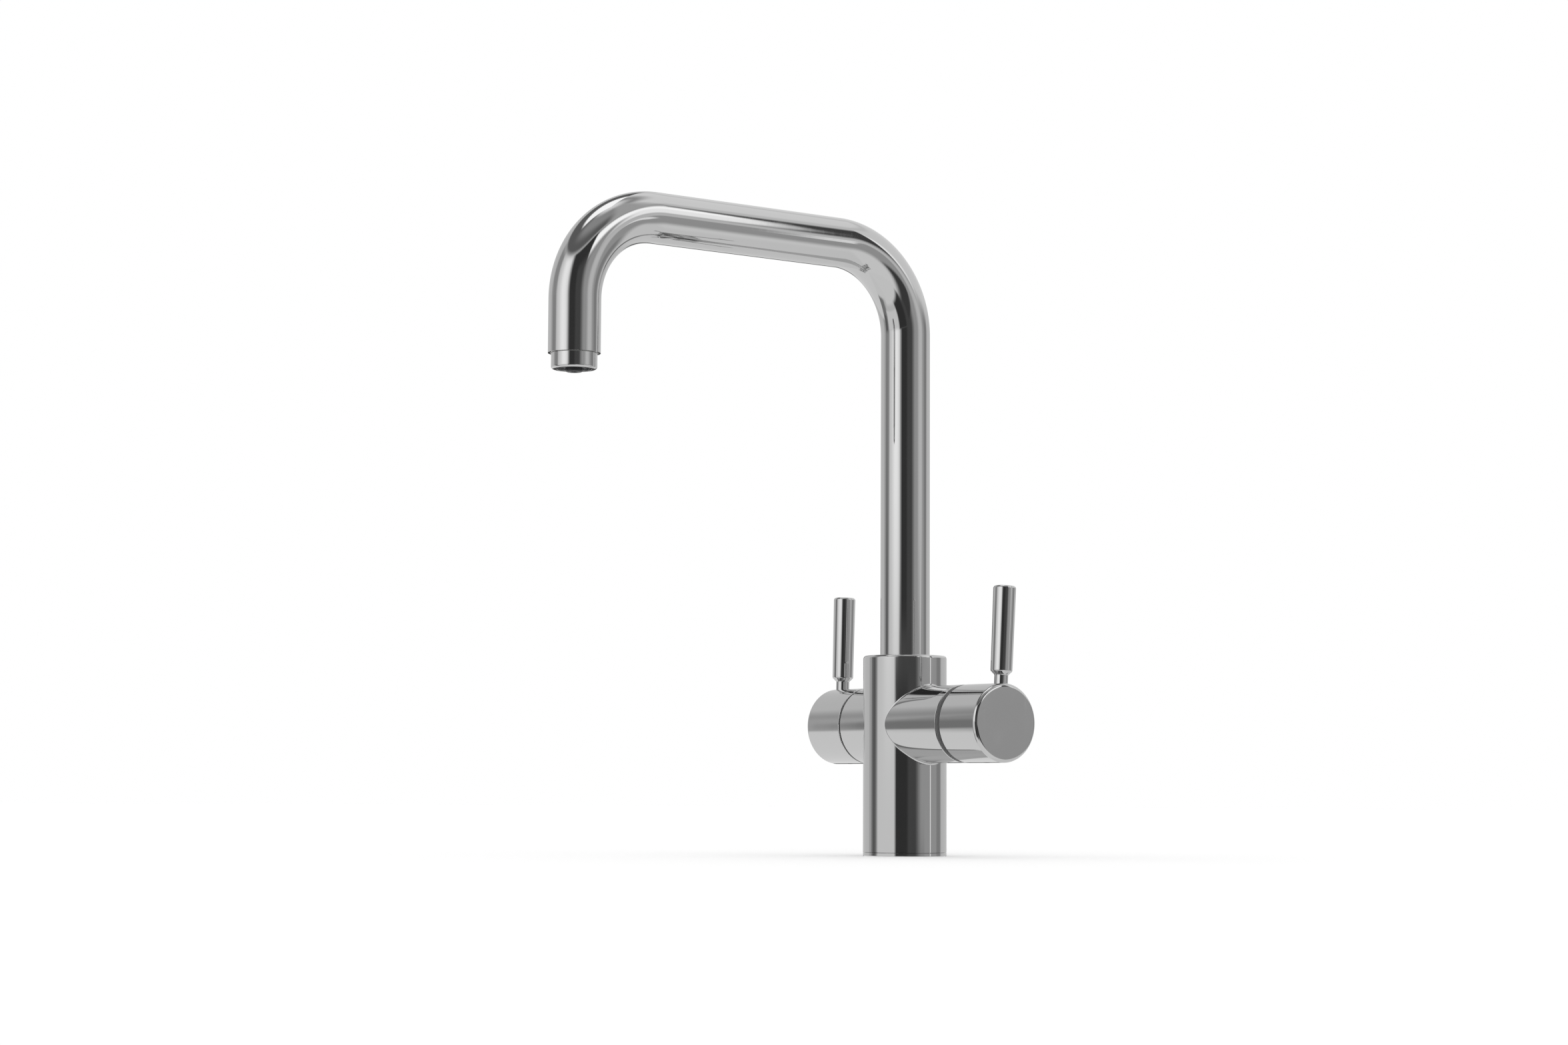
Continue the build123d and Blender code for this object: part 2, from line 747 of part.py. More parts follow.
def boil_fixed_disc():
    disc = cylinder(boil_chamber_radius - fixed_gap, boil_fixed_start, boil_fixed_start + boil_disc_height)
    outer = boil_driver_radius - gate_rim
    for angle in (0, 180):
        disc -= sector(outer, gate_inner_radius, boil_housing_start, boil_moving_start, angle, gate_angle)
    return boil_side * disc


def boil_valve_housing():
    housing = turned(
        (boil_chamber_radius, boil_housing_start),
        (boil_housing_radius, boil_housing_start),
        (boil_housing_radius, boil_flange_start),
        (cartridge_radius, boil_flange_start),
        (cartridge_radius, boil_flange_end),
        (boil_neck_radius, boil_flange_end),
        (boil_neck_radius, boil_neck_end),
        (boil_spindle_radius + shaft_gap, boil_neck_end),
        (boil_spindle_radius + shaft_gap, boil_chamber_end),
        (boil_chamber_radius, boil_chamber_end),
    )
    key_inner = boil_driver_radius - boil_key_reach
    housing += stop_key(boil_chamber_radius + fixed_gap, key_inner, boil_chamber_end, -boil_lean)
    window_length = boil_chamber_end - slide_gap - boil_moving_start
    window = Box(window_width, 4 * boil_housing_radius, window_length, align=FROM_BASE)
    chamber = cylinder(boil_chamber_radius, 0, boil_chamber_end + overrun)
    housing -= Pos(0, 0, boil_moving_start) * window - chamber
    housing -= oring_groove(cartridge_radius, cartridge_bore_radius, boil_oring_place, oring_radius)
    return boil_side * housing


def boil_housing_oring():
    return boil_side * oring(cartridge_bore_radius, boil_oring_place, oring_radius)


def boil_retaining_nut():
    bore = boil_neck_radius + slide_gap
    return boil_side * retaining_nut(bore, boil_flange_end + fixed_gap, boil_nut_height)


def boil_guide_ring():
    inner = guide_radius - guide_wall
    seat = nut_thread_radius - fixed_gap
    return boil_side * turned(
        (inner, boil_guide_start),
        (seat, boil_guide_start),
        (seat, boil_barrel_reach + fixed_gap),
        (guide_radius, boil_barrel_reach + fixed_gap),
        (guide_radius, boil_barrel_reach + boil_guide_length),
        (inner, boil_barrel_reach + boil_guide_length),
    )


# Handles

def spline_section(radius):
    """Toothed outline of the mixer spindle's end, at a given outer radius."""
    points = []
    for step in range(2 * spline_count):
        reach = radius - (step % 2) * spline_depth
        angle = radians(step * 180 / spline_count)
        points.append((reach * cos(angle), reach * sin(angle)))
    return make_face(Polyline(*points, close=True))


def drive_section(radius, flat):
    """Round outline with two flats, for the boiling water spindle's end."""
    return Circle(radius) & Rectangle(2 * flat, 4 * radius)


def hub(boss_start, boss_radius, bore_section):
    """Cup-shaped hub, from its seam edge at Z = 0 to its closed face."""
    cup = turned(
        (0, boss_start),
        (boss_radius, boss_start),
        (boss_radius, boss_end),
        (hub_bore_radius, boss_end),
        (hub_bore_radius, 0),
        (barrel_radius, 0),
        (barrel_radius, hub_length),
        (0, hub_length),
    )
    cup = round_rim(cup, barrel_radius, hub_length, hub_edge)
    cup = round_rim(cup, barrel_radius, 0, hub_seam_edge)
    cup -= Pos(0, 0, boss_start - overrun) * extrude(bore_section, hub_bore_end - boss_start + overrun)
    seat = Pos(0, 0, lever_place) * LOCAL_UP
    seat_low = barrel_radius - lever_seat_depth - fixed_gap
    cup -= seat * cylinder(lever_neck_radius + fixed_gap, seat_low, barrel_radius + overrun)
    stud_low = barrel_radius - lever_seat_depth - lever_stud_length - slide_gap
    cup -= seat * cylinder(lever_stud_radius + fixed_gap, stud_low, barrel_radius)
    return cup


def hub_screw_frame(place):
    """Local Z runs from the barrel's axis down through the hub's skirt."""
    return Pos(0, 0, place) * LOCAL_DOWN


def mixer_hub():
    bore = spline_section(spline_radius + shaft_gap)
    cup = hub(mixer_boss_start, mixer_boss_radius, bore)
    frame = hub_screw_frame(mixer_screw_place)
    cup -= frame * cylinder(hub_screw_radius + fixed_gap, 0, mixer_boss_radius + overrun)
    cup -= frame * cylinder(hub_screw_access, mixer_boss_radius + overrun, barrel_radius + overrun)
    return mixer_handle_side * Pos(0, 0, mixer_hub_start) * cup


def boil_hub():
    bore = drive_section(drive_radius + shaft_gap, drive_flat + shaft_gap)
    cup = hub(boil_boss_start, boil_boss_radius, bore)
    frame = hub_screw_frame(boil_screw_place)
    cup -= frame * cylinder(hub_screw_radius + fixed_gap, 0, boil_boss_radius + overrun)
    cup -= frame * cylinder(hub_screw_access, boil_boss_radius + overrun, barrel_radius + overrun)
    return boil_handle_side * Pos(0, 0, boil_hub_start) * cup


def lever():
    """Turned lever, standing on the barrel's axis: stud, neck, shoulder and grip."""
    seat = barrel_radius - lever_seat_depth
    neck_end = barrel_radius + lever_neck_height
    shoulder_end = neck_end + lever_shoulder_height
    top = barrel_radius + lever_height
    outline = turned(
        (0, seat - lever_stud_length),
        (lever_stud_radius, seat - lever_stud_length),
        (lever_stud_radius, seat),
        (lever_neck_radius, seat),
        (lever_neck_radius, neck_end),
        (lever_foot_radius, shoulder_end),
        (lever_top_radius, top),
        (0, top),
    )
    outline = round_rim(outline, lever_top_radius, top, lever_top_edge)
    outline = round_rim(outline, lever_foot_radius, shoulder_end, lever_shoulder_height / 2)
    return Pos(0, 0, lever_place) * LOCAL_UP * outline


def mixer_lever():
    return mixer_handle_side * Pos(0, 0, mixer_hub_start) * lever()


def boil_lever():
    return boil_handle_side * Pos(0, 0, boil_hub_start) * lever()


def mixer_hub_screw():
    low = spline_radius + 2 * shaft_gap
    screw = grub_screw(hub_screw_radius, low, mixer_boss_radius)
    return mixer_handle_side * Pos(0, 0, mixer_hub_start) * hub_screw_frame(mixer_screw_place) * screw


def boil_hub_screw():
    low = drive_radius + 2 * shaft_gap
    screw = grub_screw(hub_screw_radius, low, boil_boss_radius)
    screw += cylinder(boil_screw_tip_radius, drive_slot_floor + slide_gap, low + overrun)
    return boil_handle_side * Pos(0, 0, boil_hub_start) * hub_screw_frame(boil_screw_place) * screw


def mixer_spindle():
    driver_end = mixer_driver_start + mixer_driver_height
    spline_start = mixer_neck_end + mixer_boss_gap / 2
    spindle = cylinder(mixer_driver_radius, mixer_driver_start, driver_end)
    groove_floor = mixer_driver_radius - mixer_key_reach - slide_gap
    spindle -= stop_groove(mixer_driver_radius + overrun, groove_floor, driver_end, -1)
    spindle += cylinder(mixer_spindle_radius, driver_end - overrun, spline_start)
    spline = extrude(spline_section(spline_radius), mixer_spindle_end - spline_start + overrun)
    spindle += Pos(0, 0, spline_start - overrun) * spline
    spindle += driver_lugs(mixer_driver_radius, mixer_moving_start + mixer_disc_height)
    for place in spindle_oring_places(mixer_chamber_end, mixer_neck_end):
        bore = mixer_spindle_radius + shaft_gap
        spindle -= oring_groove(mixer_spindle_radius, bore, place, centre_oring_radius)
    return mixer_handle_side * spindle


def spindle_oring_places(bore_start, bore_end):
    """A third and two thirds of the way along a spindle's bore."""
    step = (bore_end - bore_start) / 3
    return [bore_start + step, bore_start + 2 * step]


def spindle_orings(radius, bore_start, bore_end):
    return Compound([
        oring(radius + shaft_gap, place, centre_oring_radius)
        for place in spindle_oring_places(bore_start, bore_end)
    ])


def mixer_spindle_orings():
    return mixer_handle_side * spindle_orings(mixer_spindle_radius, mixer_chamber_end, mixer_neck_end)


def mixer_moving_disc():
    disc_end = mixer_moving_start + mixer_disc_height
    disc = cylinder(mixer_driver_radius, mixer_moving_start, disc_end)
    outer = mixer_driver_radius - mixing_rim
    low = mixer_moving_start - overrun
    high = mixer_moving_start + disc_hollow_depth
    disc -= sector(outer, mixing_inner_radius, low, high, 90, mixing_angle)
    return mixer_handle_side * (disc - lug_notches(mixer_driver_radius, disc_end))


def boil_spindle():
    driver_end = boil_driver_start + boil_driver_height
    spindle = cylinder(boil_driver_radius, boil_driver_start, driver_end)
    groove_floor = boil_driver_radius - boil_key_reach - slide_gap
    spindle -= stop_groove(boil_driver_radius + overrun, groove_floor, driver_end, 1)
    spindle += cylinder(boil_spindle_radius, driver_end - overrun, spring_seat_start - fixed_gap)
    drive = extrude(drive_section(drive_radius, drive_flat), boil_spindle_end - spring_seat_start + overrun)
    spindle += Pos(0, 0, spring_seat_start - overrun) * drive
    spindle += driver_lugs(boil_driver_radius, boil_moving_start + boil_disc_height)
    for place in spindle_oring_places(boil_chamber_end, boil_neck_end):
        bore = boil_spindle_radius + shaft_gap
        spindle -= oring_groove(boil_spindle_radius, bore, place, centre_oring_radius)
    return boil_handle_side * (spindle - drive_slot())


def drive_slot():
    """Slot that the hub screw's tip slides along when the hub is pushed in."""
    half = boil_screw_tip_radius + slide_gap
    outer_end = boil_hub_start + boil_screw_place + half
    inner_end = boil_hub_start + boil_screw_place - push_travel - half
    slot = Box(drive_radius, 2 * half, outer_end - inner_end, align=(Align.MIN, Align.CENTER, Align.MIN))
    return Pos(drive_slot_floor, 0, inner_end) * slot


def boil_spindle_orings():
    return boil_handle_side * spindle_orings(boil_spindle_radius, boil_chamber_end, boil_neck_end)


def boil_moving_disc():
    disc_end = boil_moving_start + boil_disc_height
    disc = cylinder(boil_driver_radius, boil_moving_start, disc_end)
    outer = boil_driver_radius + overrun
    low = boil_moving_start - overrun
    high = boil_moving_start + disc_hollow_depth
    for angle in (90, 270):
        disc -= sector(outer, gate_inner_radius, low, high, angle, gate_angle)
    return boil_handle_side * (disc - lug_notches(boil_driver_radius, disc_end))


def boil_spring_seat():
    bore = drive_radius + fixed_gap
    return boil_handle_side * ring(spring_seat_radius, bore, spring_seat_start, spring_start)


def boil_return_spring():
    height = spring_length - 2 * spring_wire_radius - 2 * fixed_gap
    coil = Helix(height / spring_turns, height, spring_radius)
    wire = Plane(coil @ 0, z_dir=coil % 0) * Circle(spring_wire_radius)
    spring = sweep(wire, path=coil)
    return boil_handle_side * Pos(0, 0, spring_start + spring_wire_radius + fixed_gap) * spring


nodes = {
    "tap_body": tap_body,
    "base_ring": base_ring,
    "base_gasket": base_gasket,
    "spout_upper_bush": upper_bush,
    "spout_lower_bush": lower_bush,
    "spout_retaining_screw": spout_retaining_screw,
    "mixer_base_seal": mixer_base_seal,
    "mixer_cartridge_base": mixer_cartridge_base,
    "mixer_fixed_disc": mixer_fixed_disc,
    "mixer_cartridge_housing": mixer_cartridge_housing,
    "mixer_housing_oring": mixer_housing_oring,
    "mixer_retaining_nut": mixer_retaining_nut,
    "mixer_guide_ring": mixer_guide_ring,
    "boil_valve_seal": boil_valve_seal,
    "boil_fixed_disc": boil_fixed_disc,
    "boil_valve_housing": boil_valve_housing,
    "boil_housing_oring": boil_housing_oring,
    "boil_retaining_nut": boil_retaining_nut,
    "boil_guide_ring": boil_guide_ring,
    "spout_tube": lambda: bent_tube(tube_radius, tube_wall, tube_bottom, outlet_step_height),
    "spout_spigot": spout_spigot,
    "spigot_orings": spigot_orings,
    "centre_oring": centre_oring,
    "filtered_water_tube": filtered_water_tube,
    "outlet_sleeve": outlet_sleeve,
    "aerator_housing": aerator_housing,
    "aerator_seal": aerator_seal,
    "aerator_insert": aerator_insert,
    "filtered_nozzle": filtered_nozzle,
    "mixer_hub": mixer_hub,
    "mixer_lever": mixer_lever,
    "mixer_hub_screw": mixer_hub_screw,
    "mixer_spindle": mixer_spindle,
    "mixer_spindle_orings": mixer_spindle_orings,
    "mixer_moving_disc": mixer_moving_disc,
    "boil_spindle": boil_spindle,
    "boil_spindle_orings": boil_spindle_orings,
    "boil_moving_disc": boil_moving_disc,
    "boil_spring_seat": boil_spring_seat,
    "boil_hub": boil_hub,
    "boil_lever": boil_lever,
    "boil_hub_screw": boil_hub_screw,
    "boil_return_spring": boil_return_spring,
}

os.makedirs("parts", exist_ok=True)
for name, make in nodes.items():
    export_step(make(), f"parts/{name}.step")
print(len(nodes), "parts written")
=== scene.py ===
# %% [markdown]
# Boiling water tap
# A kitchen tap with a round body, a cross barrel with a turning hub at each end, and a tall U of round
# tube. Every outer piece is brass with a mirror plate of chrome, so this scene is about two things:
# surfaces that are exactly smooth, and a studio worth reflecting. Each step below first says what the
# real piece is and then builds or finishes it.

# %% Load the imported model
import json
from math import atan, cos, pi, radians, sin

import bmesh
import bpy
import numpy as np
from mathutils import Matrix, Vector
from mathutils.kdtree import KDTree


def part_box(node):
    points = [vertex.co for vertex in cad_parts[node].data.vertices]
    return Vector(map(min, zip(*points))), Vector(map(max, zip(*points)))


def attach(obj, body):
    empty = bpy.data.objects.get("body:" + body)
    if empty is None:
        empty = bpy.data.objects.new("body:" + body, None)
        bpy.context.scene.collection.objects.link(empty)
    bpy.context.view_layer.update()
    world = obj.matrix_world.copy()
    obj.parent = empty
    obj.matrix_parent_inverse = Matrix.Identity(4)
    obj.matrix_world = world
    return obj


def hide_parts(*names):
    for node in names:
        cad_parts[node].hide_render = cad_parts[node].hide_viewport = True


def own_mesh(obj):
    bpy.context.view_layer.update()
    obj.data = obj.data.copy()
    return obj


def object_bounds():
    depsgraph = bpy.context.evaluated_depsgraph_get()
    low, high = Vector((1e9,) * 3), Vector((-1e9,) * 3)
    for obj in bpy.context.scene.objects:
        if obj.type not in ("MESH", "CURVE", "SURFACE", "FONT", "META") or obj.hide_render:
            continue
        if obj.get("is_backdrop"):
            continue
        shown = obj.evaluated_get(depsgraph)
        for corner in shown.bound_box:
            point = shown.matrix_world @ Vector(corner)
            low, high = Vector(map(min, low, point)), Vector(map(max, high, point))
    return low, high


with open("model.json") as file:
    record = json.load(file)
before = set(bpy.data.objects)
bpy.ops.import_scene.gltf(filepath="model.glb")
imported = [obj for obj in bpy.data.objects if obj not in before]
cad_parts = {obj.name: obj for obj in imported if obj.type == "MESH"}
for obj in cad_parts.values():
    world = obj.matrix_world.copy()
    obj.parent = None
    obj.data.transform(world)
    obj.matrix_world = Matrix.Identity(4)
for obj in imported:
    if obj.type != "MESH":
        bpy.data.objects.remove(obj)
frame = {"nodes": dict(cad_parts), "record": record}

cad_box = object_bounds()
mm = 0.001

# %% [markdown]
# The camera
# A product picture of a tall thing is taken from far off with a long lens, so that its upright lines
# stay upright. Here the camera stands low, in front and to the right of the tap, and looks slightly up.
# Its place is worked out from a bearing and a distance, and its aim from where the body's axis should
# fall in the picture, because that keeps the tap in its place when the lens or the distance changes.

# %% Set the camera
PICTURE_WIDTH = 2352
SENSOR_WIDTH = 36.0
camera_bearing = radians(52)
camera_distance = 1.781
camera_height = 0.0363
focal_pixels = 4632
axis_pixel = 1358.5
camera_pitch = 0.087
camera_roll = 0.005

up = Vector((0, 0, 1))
towards_camera = Vector((sin(camera_bearing), -cos(camera_bearing), 0))
to_the_right = Vector((cos(camera_bearing), sin(camera_bearing), 0))
camera_yaw = atan((axis_pixel - PICTURE_WIDTH / 2) / focal_pixels)
level_view = -(towards_camera * cos(camera_yaw) + to_the_right * sin(camera_yaw))
view = level_view * cos(camera_pitch) + up * sin(camera_pitch)
side = view.cross(up).normalized()
above = side.cross(view)
rolled_side = side * cos(camera_roll) + above * sin(camera_roll)
rolled_above = above * cos(camera_roll) - side * sin(camera_roll)

camera_data = bpy.data.cameras.new("camera")
camera_data.sensor_fit = "HORIZONTAL"
camera_data.sensor_width = SENSOR_WIDTH
camera_data.lens = focal_pixels * SENSOR_WIDTH / PICTURE_WIDTH
camera = bpy.data.objects.new("camera", camera_data)
bpy.context.scene.collection.objects.link(camera)
axes = Matrix((rolled_side, rolled_above, -view)).transposed()
place = towards_camera * camera_distance + up * camera_height
camera.matrix_world = Matrix.Translation(place) @ axes.to_4x4()
bpy.context.scene.camera = camera
bpy.context.scene.view_settings.view_transform = "Standard"
print("lens", round(camera_data.lens, 1), "mm at", [round(c, 3) for c in camera.location])

# %% [markdown]
# Shorthand for node trees
# Materials, the world and Geometry Nodes are all trees of nodes. Three small helpers keep the steps
# short: one adds a node and sets its inputs, one joins two sockets, and one makes a fresh material.
# An input is found by its name or its number, because some nodes have two inputs with one name.

# %% Helpers for node trees
def add_node(tree, kind, inputs=None, **settings):
    """A new node with some of its settings and inputs filled in."""
    node = tree.nodes.new(kind)
    for name, value in settings.items():
        setattr(node, name, value)
    for socket, value in (inputs or {}).items():
        node.inputs[socket].default_value = value
    return node


def join(tree, source, target, output=0, to=0):
    """Lead one node's output into another node's input."""
    tree.links.new(source.outputs[output], target.inputs[to])


def new_material(name):
    """An empty node material: the material, its tree and its Principled shader."""
    made = bpy.data.materials.new(name)
    made.use_nodes = True
    tree = made.node_tree
    tree.nodes.clear()
    shader = add_node(tree, "ShaderNodeBsdfPrincipled")
    output = add_node(tree, "ShaderNodeOutputMaterial")
    join(tree, shader, output)
    return made, tree, shader


print("helpers: add_node, join, new_material")

# %% [markdown]
# The studio around the tap
# Chrome has no colour of its own. What is seen on it is the room, squeezed sideways on every cylinder
# and bent into long hooks on the spout. The room is a photographer's: darkness round the camera, a tall
# soft light on the left, a bright window high on the right with a dark beam leaning across its edge,
# grey screens lower down with a narrow strip of light, and a pale table all round. They could be real
# cards hung in the scene. Painting them on the world is simpler, because a card then depends only on
# the direction in which the metal looks, and each edge can be moved by itself. What that gives up is
# nearness: a painted card lies in the same direction from the spout as from the foot.
# The camera and the light that falls on matt surfaces get plain even white instead.

# %% List the studio's cards
# Left, right, low and high edge in degrees, then level, and how soft the upright and the level edges
# are. Sideways is measured from the camera's bearing with the picture's right as plus. A later card
# covers an earlier one. A card that leans shifts sideways by so many degrees for each degree of height.
BACK_WALL = 0.68
STUDIO_CARDS = {
    "high wall": (-200, 200, 42, 200, 0.15, 6, 6),
    "upper wall": (-60, 200, 56, 200, 0.36, 50, 16),
    "right upper wall": (44, 80, 40, 200, 0.5, 16, 6),
    "high right wall": (78, 200, 45, 68, 0.92, 20, 14),
    "ceiling": (-200, 200, 80, 200, 1.0, 4, 14),
    "top light behind": (-200, -78, 63, 200, 1.5, 16, 6),
    "left screen": (-112, -80, -100, 40, 0.36, 14, 10),
    "foot of the left screen": (-110, -84, -100, 7, 0.25, 8, 8),
    "left screen's shadow": (-99, -90, -16, 4, 0.13, 7, 4),
    "wall beside the left screen": (-115, -105.2, -12, 15, 0.5, 1.6, 10),
    "soft light": (-79, -10, 3, 39, 0.88, 20, 5),
    "foot of the soft light": (-82, -10, -24, 3, 0.82, 10, 4),
    "heart of the soft light": (-60, -30, 3, 38, 1.24, 26, 8),
    "darkness round the camera": (-23, 70, 2, 40, 0.045, 18, 3),
    "darkness below the camera": (-27, 70, -100, 3, 0.042, 8, 3),
    "camera table": (8, 70, -100, 26, 0.08, 10, 8),
    "right screen": (38, 200, -100, 22, 0.42, 22, 6),
    "hump of light": (63, 86, 3.5, 12, 0.7, 16, 4),
    "strip of light": (73.4, 76.2, -6, 4, 1.05, 1.5, 2),
    "far right screen": (98, 114, -100, 18, 0.3, 8, 6),
    "right wall": (118, 200, -100, 46, 0.68, 8, 6),
    "upper right wall": (86, 200, 14, 46, 0.85, 6, 8),
    "floor shadow on the right": (20, 56, -24, -2, 0.06, 8, 4),
    "window": (37, 90, 24, 37.5, 1.5, 5, 8),
    "low corner of the window": (65, 90, 14, 30, 1.25, 8, 8),
    "dark beam": (73.4, 82.3, 13, 41, 0.07, 2, 8),
    "table on the right": (14, 200, -100, -25, 0.86, 8, 16),
    "table far right": (84, 200, -100, -15, 0.8, 10, 12),
    "table in the middle": (-68, 20, -100, -33, 0.84, 8, 8),
    "table on the left": (-200, -60, -100, -42, 0.82, 8, 8),
    "table far left": (-200, -104, -100, -8.5, 0.86, 6, 5),
    "gap behind on the left": (-200, -168, -13, -5, 0.08, 5, 3),
    "gap behind on the right": (168, 200, -13, -5, 0.08, 5, 3),
}
CARD_LEANS = {"dark beam": 0.35}
levels = [card[4] for card in STUDIO_CARDS.values()]
print(len(STUDIO_CARDS), "cards, levels", min(levels), "to", max(levels))


# %% Helpers that paint a card
def rising(tree, value, edge, soft):
    """Nought before an edge and one after it, with a soft change between."""
    ramp = add_node(tree, "ShaderNodeMapRange", {1: edge - soft / 2, 2: edge + soft / 2},
                    interpolation_type="SMOOTHSTEP")
    join(tree, value, ramp)
    return ramp


def stretch_between(tree, value, low, high, soft):
    """One between two edges and nought outside them."""
    inside = add_node(tree, "ShaderNodeMath", operation="SUBTRACT")
    join(tree, rising(tree, value, low, soft), inside, to=0)
    join(tree, rising(tree, value, high, soft), inside, to=1)
    return inside


def leaning(tree, sideways, height, low, lean):
    """The sideways angle for a card that leans by so many degrees for each degree of height."""
    slip = add_node(tree, "ShaderNodeMath", {1: -lean, 2: lean * low}, operation="MULTIPLY_ADD")
    join(tree, height, slip)
    moved = add_node(tree, "ShaderNodeMath", operation="ADD")
    join(tree, sideways, moved, to=0)
    join(tree, slip, moved, to=1)
    return moved


def hang_card(tree, wall, sideways, height, card, lean):
    """Paint one card over the levels that are there already."""
    left, right, low, high, level, soft_sides, soft_ends = card
    if lean:
        sideways = leaning(tree, sideways, height, low, lean)
    shape = add_node(tree, "ShaderNodeMath", operation="MULTIPLY")
    join(tree, stretch_between(tree, sideways, left, right, soft_sides), shape, to=0)
    join(tree, stretch_between(tree, height, low, high, soft_ends), shape, to=1)
    painted = add_node(tree, "ShaderNodeMix", {3: level}, data_type="FLOAT")
    join(tree, shape, painted, to=0)
    join(tree, wall, painted, to=2)
    return painted


def in_degrees(tree, source):
    """An angle in degrees from one in radians."""
    turned = add_node(tree, "ShaderNodeMath", {1: 180 / pi}, operation="MULTIPLY")
    join(tree, source, turned)
    return turned


print("a card's edges change smoothly over their softness")

# %% Find the two angles of a direction
world = bpy.data.worlds.new("studio")
bpy.context.scene.world = world
world.use_nodes = True
sky = world.node_tree
sky.nodes.clear()
looking = add_node(sky, "ShaderNodeTexCoord")
ahead = add_node(sky, "ShaderNodeVectorMath", {1: towards_camera}, operation="DOT_PRODUCT")
aside = add_node(sky, "ShaderNodeVectorMath", {1: to_the_right}, operation="DOT_PRODUCT")
join(sky, looking, ahead, output="Generated")
join(sky, looking, aside, output="Generated")
angle = add_node(sky, "ShaderNodeMath", operation="ARCTAN2")
join(sky, aside, angle, output="Value", to=0)
join(sky, ahead, angle, output="Value", to=1)
parts = add_node(sky, "ShaderNodeSeparateXYZ")
join(sky, looking, parts, output="Generated")
rise = add_node(sky, "ShaderNodeMath", operation="ARCSINE")
join(sky, parts, rise, output="Z")
sideways = in_degrees(sky, angle)
height = in_degrees(sky, rise)
print("world:", world.name, "with", len(sky.nodes), "nodes for its two angles")

# %% Hang the cards and light the world
room = add_node(sky, "ShaderNodeValue")
room.outputs[0].default_value = BACK_WALL
for name, card in STUDIO_CARDS.items():
    room = hang_card(sky, room, sideways, height, card, CARD_LEANS.get(name, 0))
rays = add_node(sky, "ShaderNodeLightPath")
mirror_or_glass = add_node(sky, "ShaderNodeMath", operation="MAXIMUM")
join(sky, rays, mirror_or_glass, output="Is Glossy Ray", to=0)
join(sky, rays, mirror_or_glass, output="Is Transmission Ray", to=1)
seen = add_node(sky, "ShaderNodeMix", {2: 1.0}, data_type="FLOAT")
join(sky, mirror_or_glass, seen, to=0)
join(sky, room, seen, to=3)
light = add_node(sky, "ShaderNodeBackground", {"Color": (1, 1, 1, 1)})
join(sky, seen, light, to="Strength")
join(sky, light, add_node(sky, "ShaderNodeOutputWorld"))
print("hung:", ", ".join(STUDIO_CARDS))

# %% [markdown]
# The floor
# A white sheet under the tap. Lit by an even white world, a matt white floor comes out a little under
# white and keeps a soft shadow round the tap's foot. The camera should see it melt into the white
# background, so camera rays get a small extra glow. The mirror doesn't see this sheet: the table that
# shows in the metal is painted on the world with the other cards, where its edges can be moved.

# %% Lay the floor
FLOOR_RADIUS = 6.0
FLOOR_LEVEL = 0.90
CAMERA_GLOW = 0.12
RIM_STEPS = 128
turns = [2 * pi * step / RIM_STEPS for step in range(RIM_STEPS)]
rim = [(FLOOR_RADIUS * cos(turn), FLOOR_RADIUS * sin(turn), 0) for turn in turns]
mesh = bpy.data.meshes.new("floor")
mesh.from_pydata(rim, [], [range(RIM_STEPS)])
floor = bpy.data.objects.new("floor", mesh)
bpy.context.scene.collection.objects.link(floor)
floor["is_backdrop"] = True
floor.visible_glossy = False
floor_paper = bpy.data.materials.new("white paper")
floor_paper.use_nodes = True
tree = floor_paper.node_tree
tree.nodes.clear()
mesh.materials.append(floor_paper)
paper = add_node(tree, "ShaderNodeBsdfDiffuse", {"Color": (FLOOR_LEVEL, FLOOR_LEVEL, FLOOR_LEVEL, 1)})
rays = add_node(tree, "ShaderNodeLightPath")
lift = add_node(tree, "ShaderNodeMath", {1: CAMERA_GLOW}, operation="MULTIPLY")
glow = add_node(tree, "ShaderNodeEmission", {"Color": (1, 1, 1, 1)})
lit = add_node(tree, "ShaderNodeAddShader")
join(tree, rays, lift, output="Is Camera Ray")
join(tree, lift, glow, to="Strength")
join(tree, paper, lit, to=0)
join(tree, glow, lit, to=1)
join(tree, lit, add_node(tree, "ShaderNodeOutputMaterial"))
print("floor radius", FLOOR_RADIUS, "m")

# %% [markdown]
# Finishes
# Each finish starts from a real surface. Polished chrome is a metal with hardly any roughness; what
# makes it look real is what is not perfect: the buffing wheel leaves a very slight waviness, wiping
# leaves fine hairlines, and fingers and water leave soft dull spots. Those go into the roughness and
# the bump, a few millionths of a metre high, and the colour stays one number on the shader.

# %% Helpers for finishes
finishes = {}


def noise_on(tree, spots, detail, stretch=(1, 1, 1)):
    """Noise on the piece's own coordinates, with so many spots to the metre."""
    where = add_node(tree, "ShaderNodeTexCoord")
    placed = add_node(tree, "ShaderNodeMapping", {"Scale": stretch})
    join(tree, where, placed, output="Object")
    noise = add_node(tree, "ShaderNodeTexNoise", {"Scale": spots, "Detail": detail})
    join(tree, placed, noise)
    return noise


def between(tree, source, low, high, start=0.0, end=1.0):
    """Spread a 0 to 1 value over a range."""
    spread = add_node(tree, "ShaderNodeMapRange", {1: start, 2: end, 3: low, 4: high})
    join(tree, source, spread)
    return spread


def bump_from(tree, source, height, under=None):
    """A bump that is so many metres high, laid over another bump if one is given."""
    bump = add_node(tree, "ShaderNodeBump", {"Strength": 1.0, "Distance": height})
    join(tree, source, bump, to="Height")
    if under:
        join(tree, under, bump, to="Normal")
    return bump


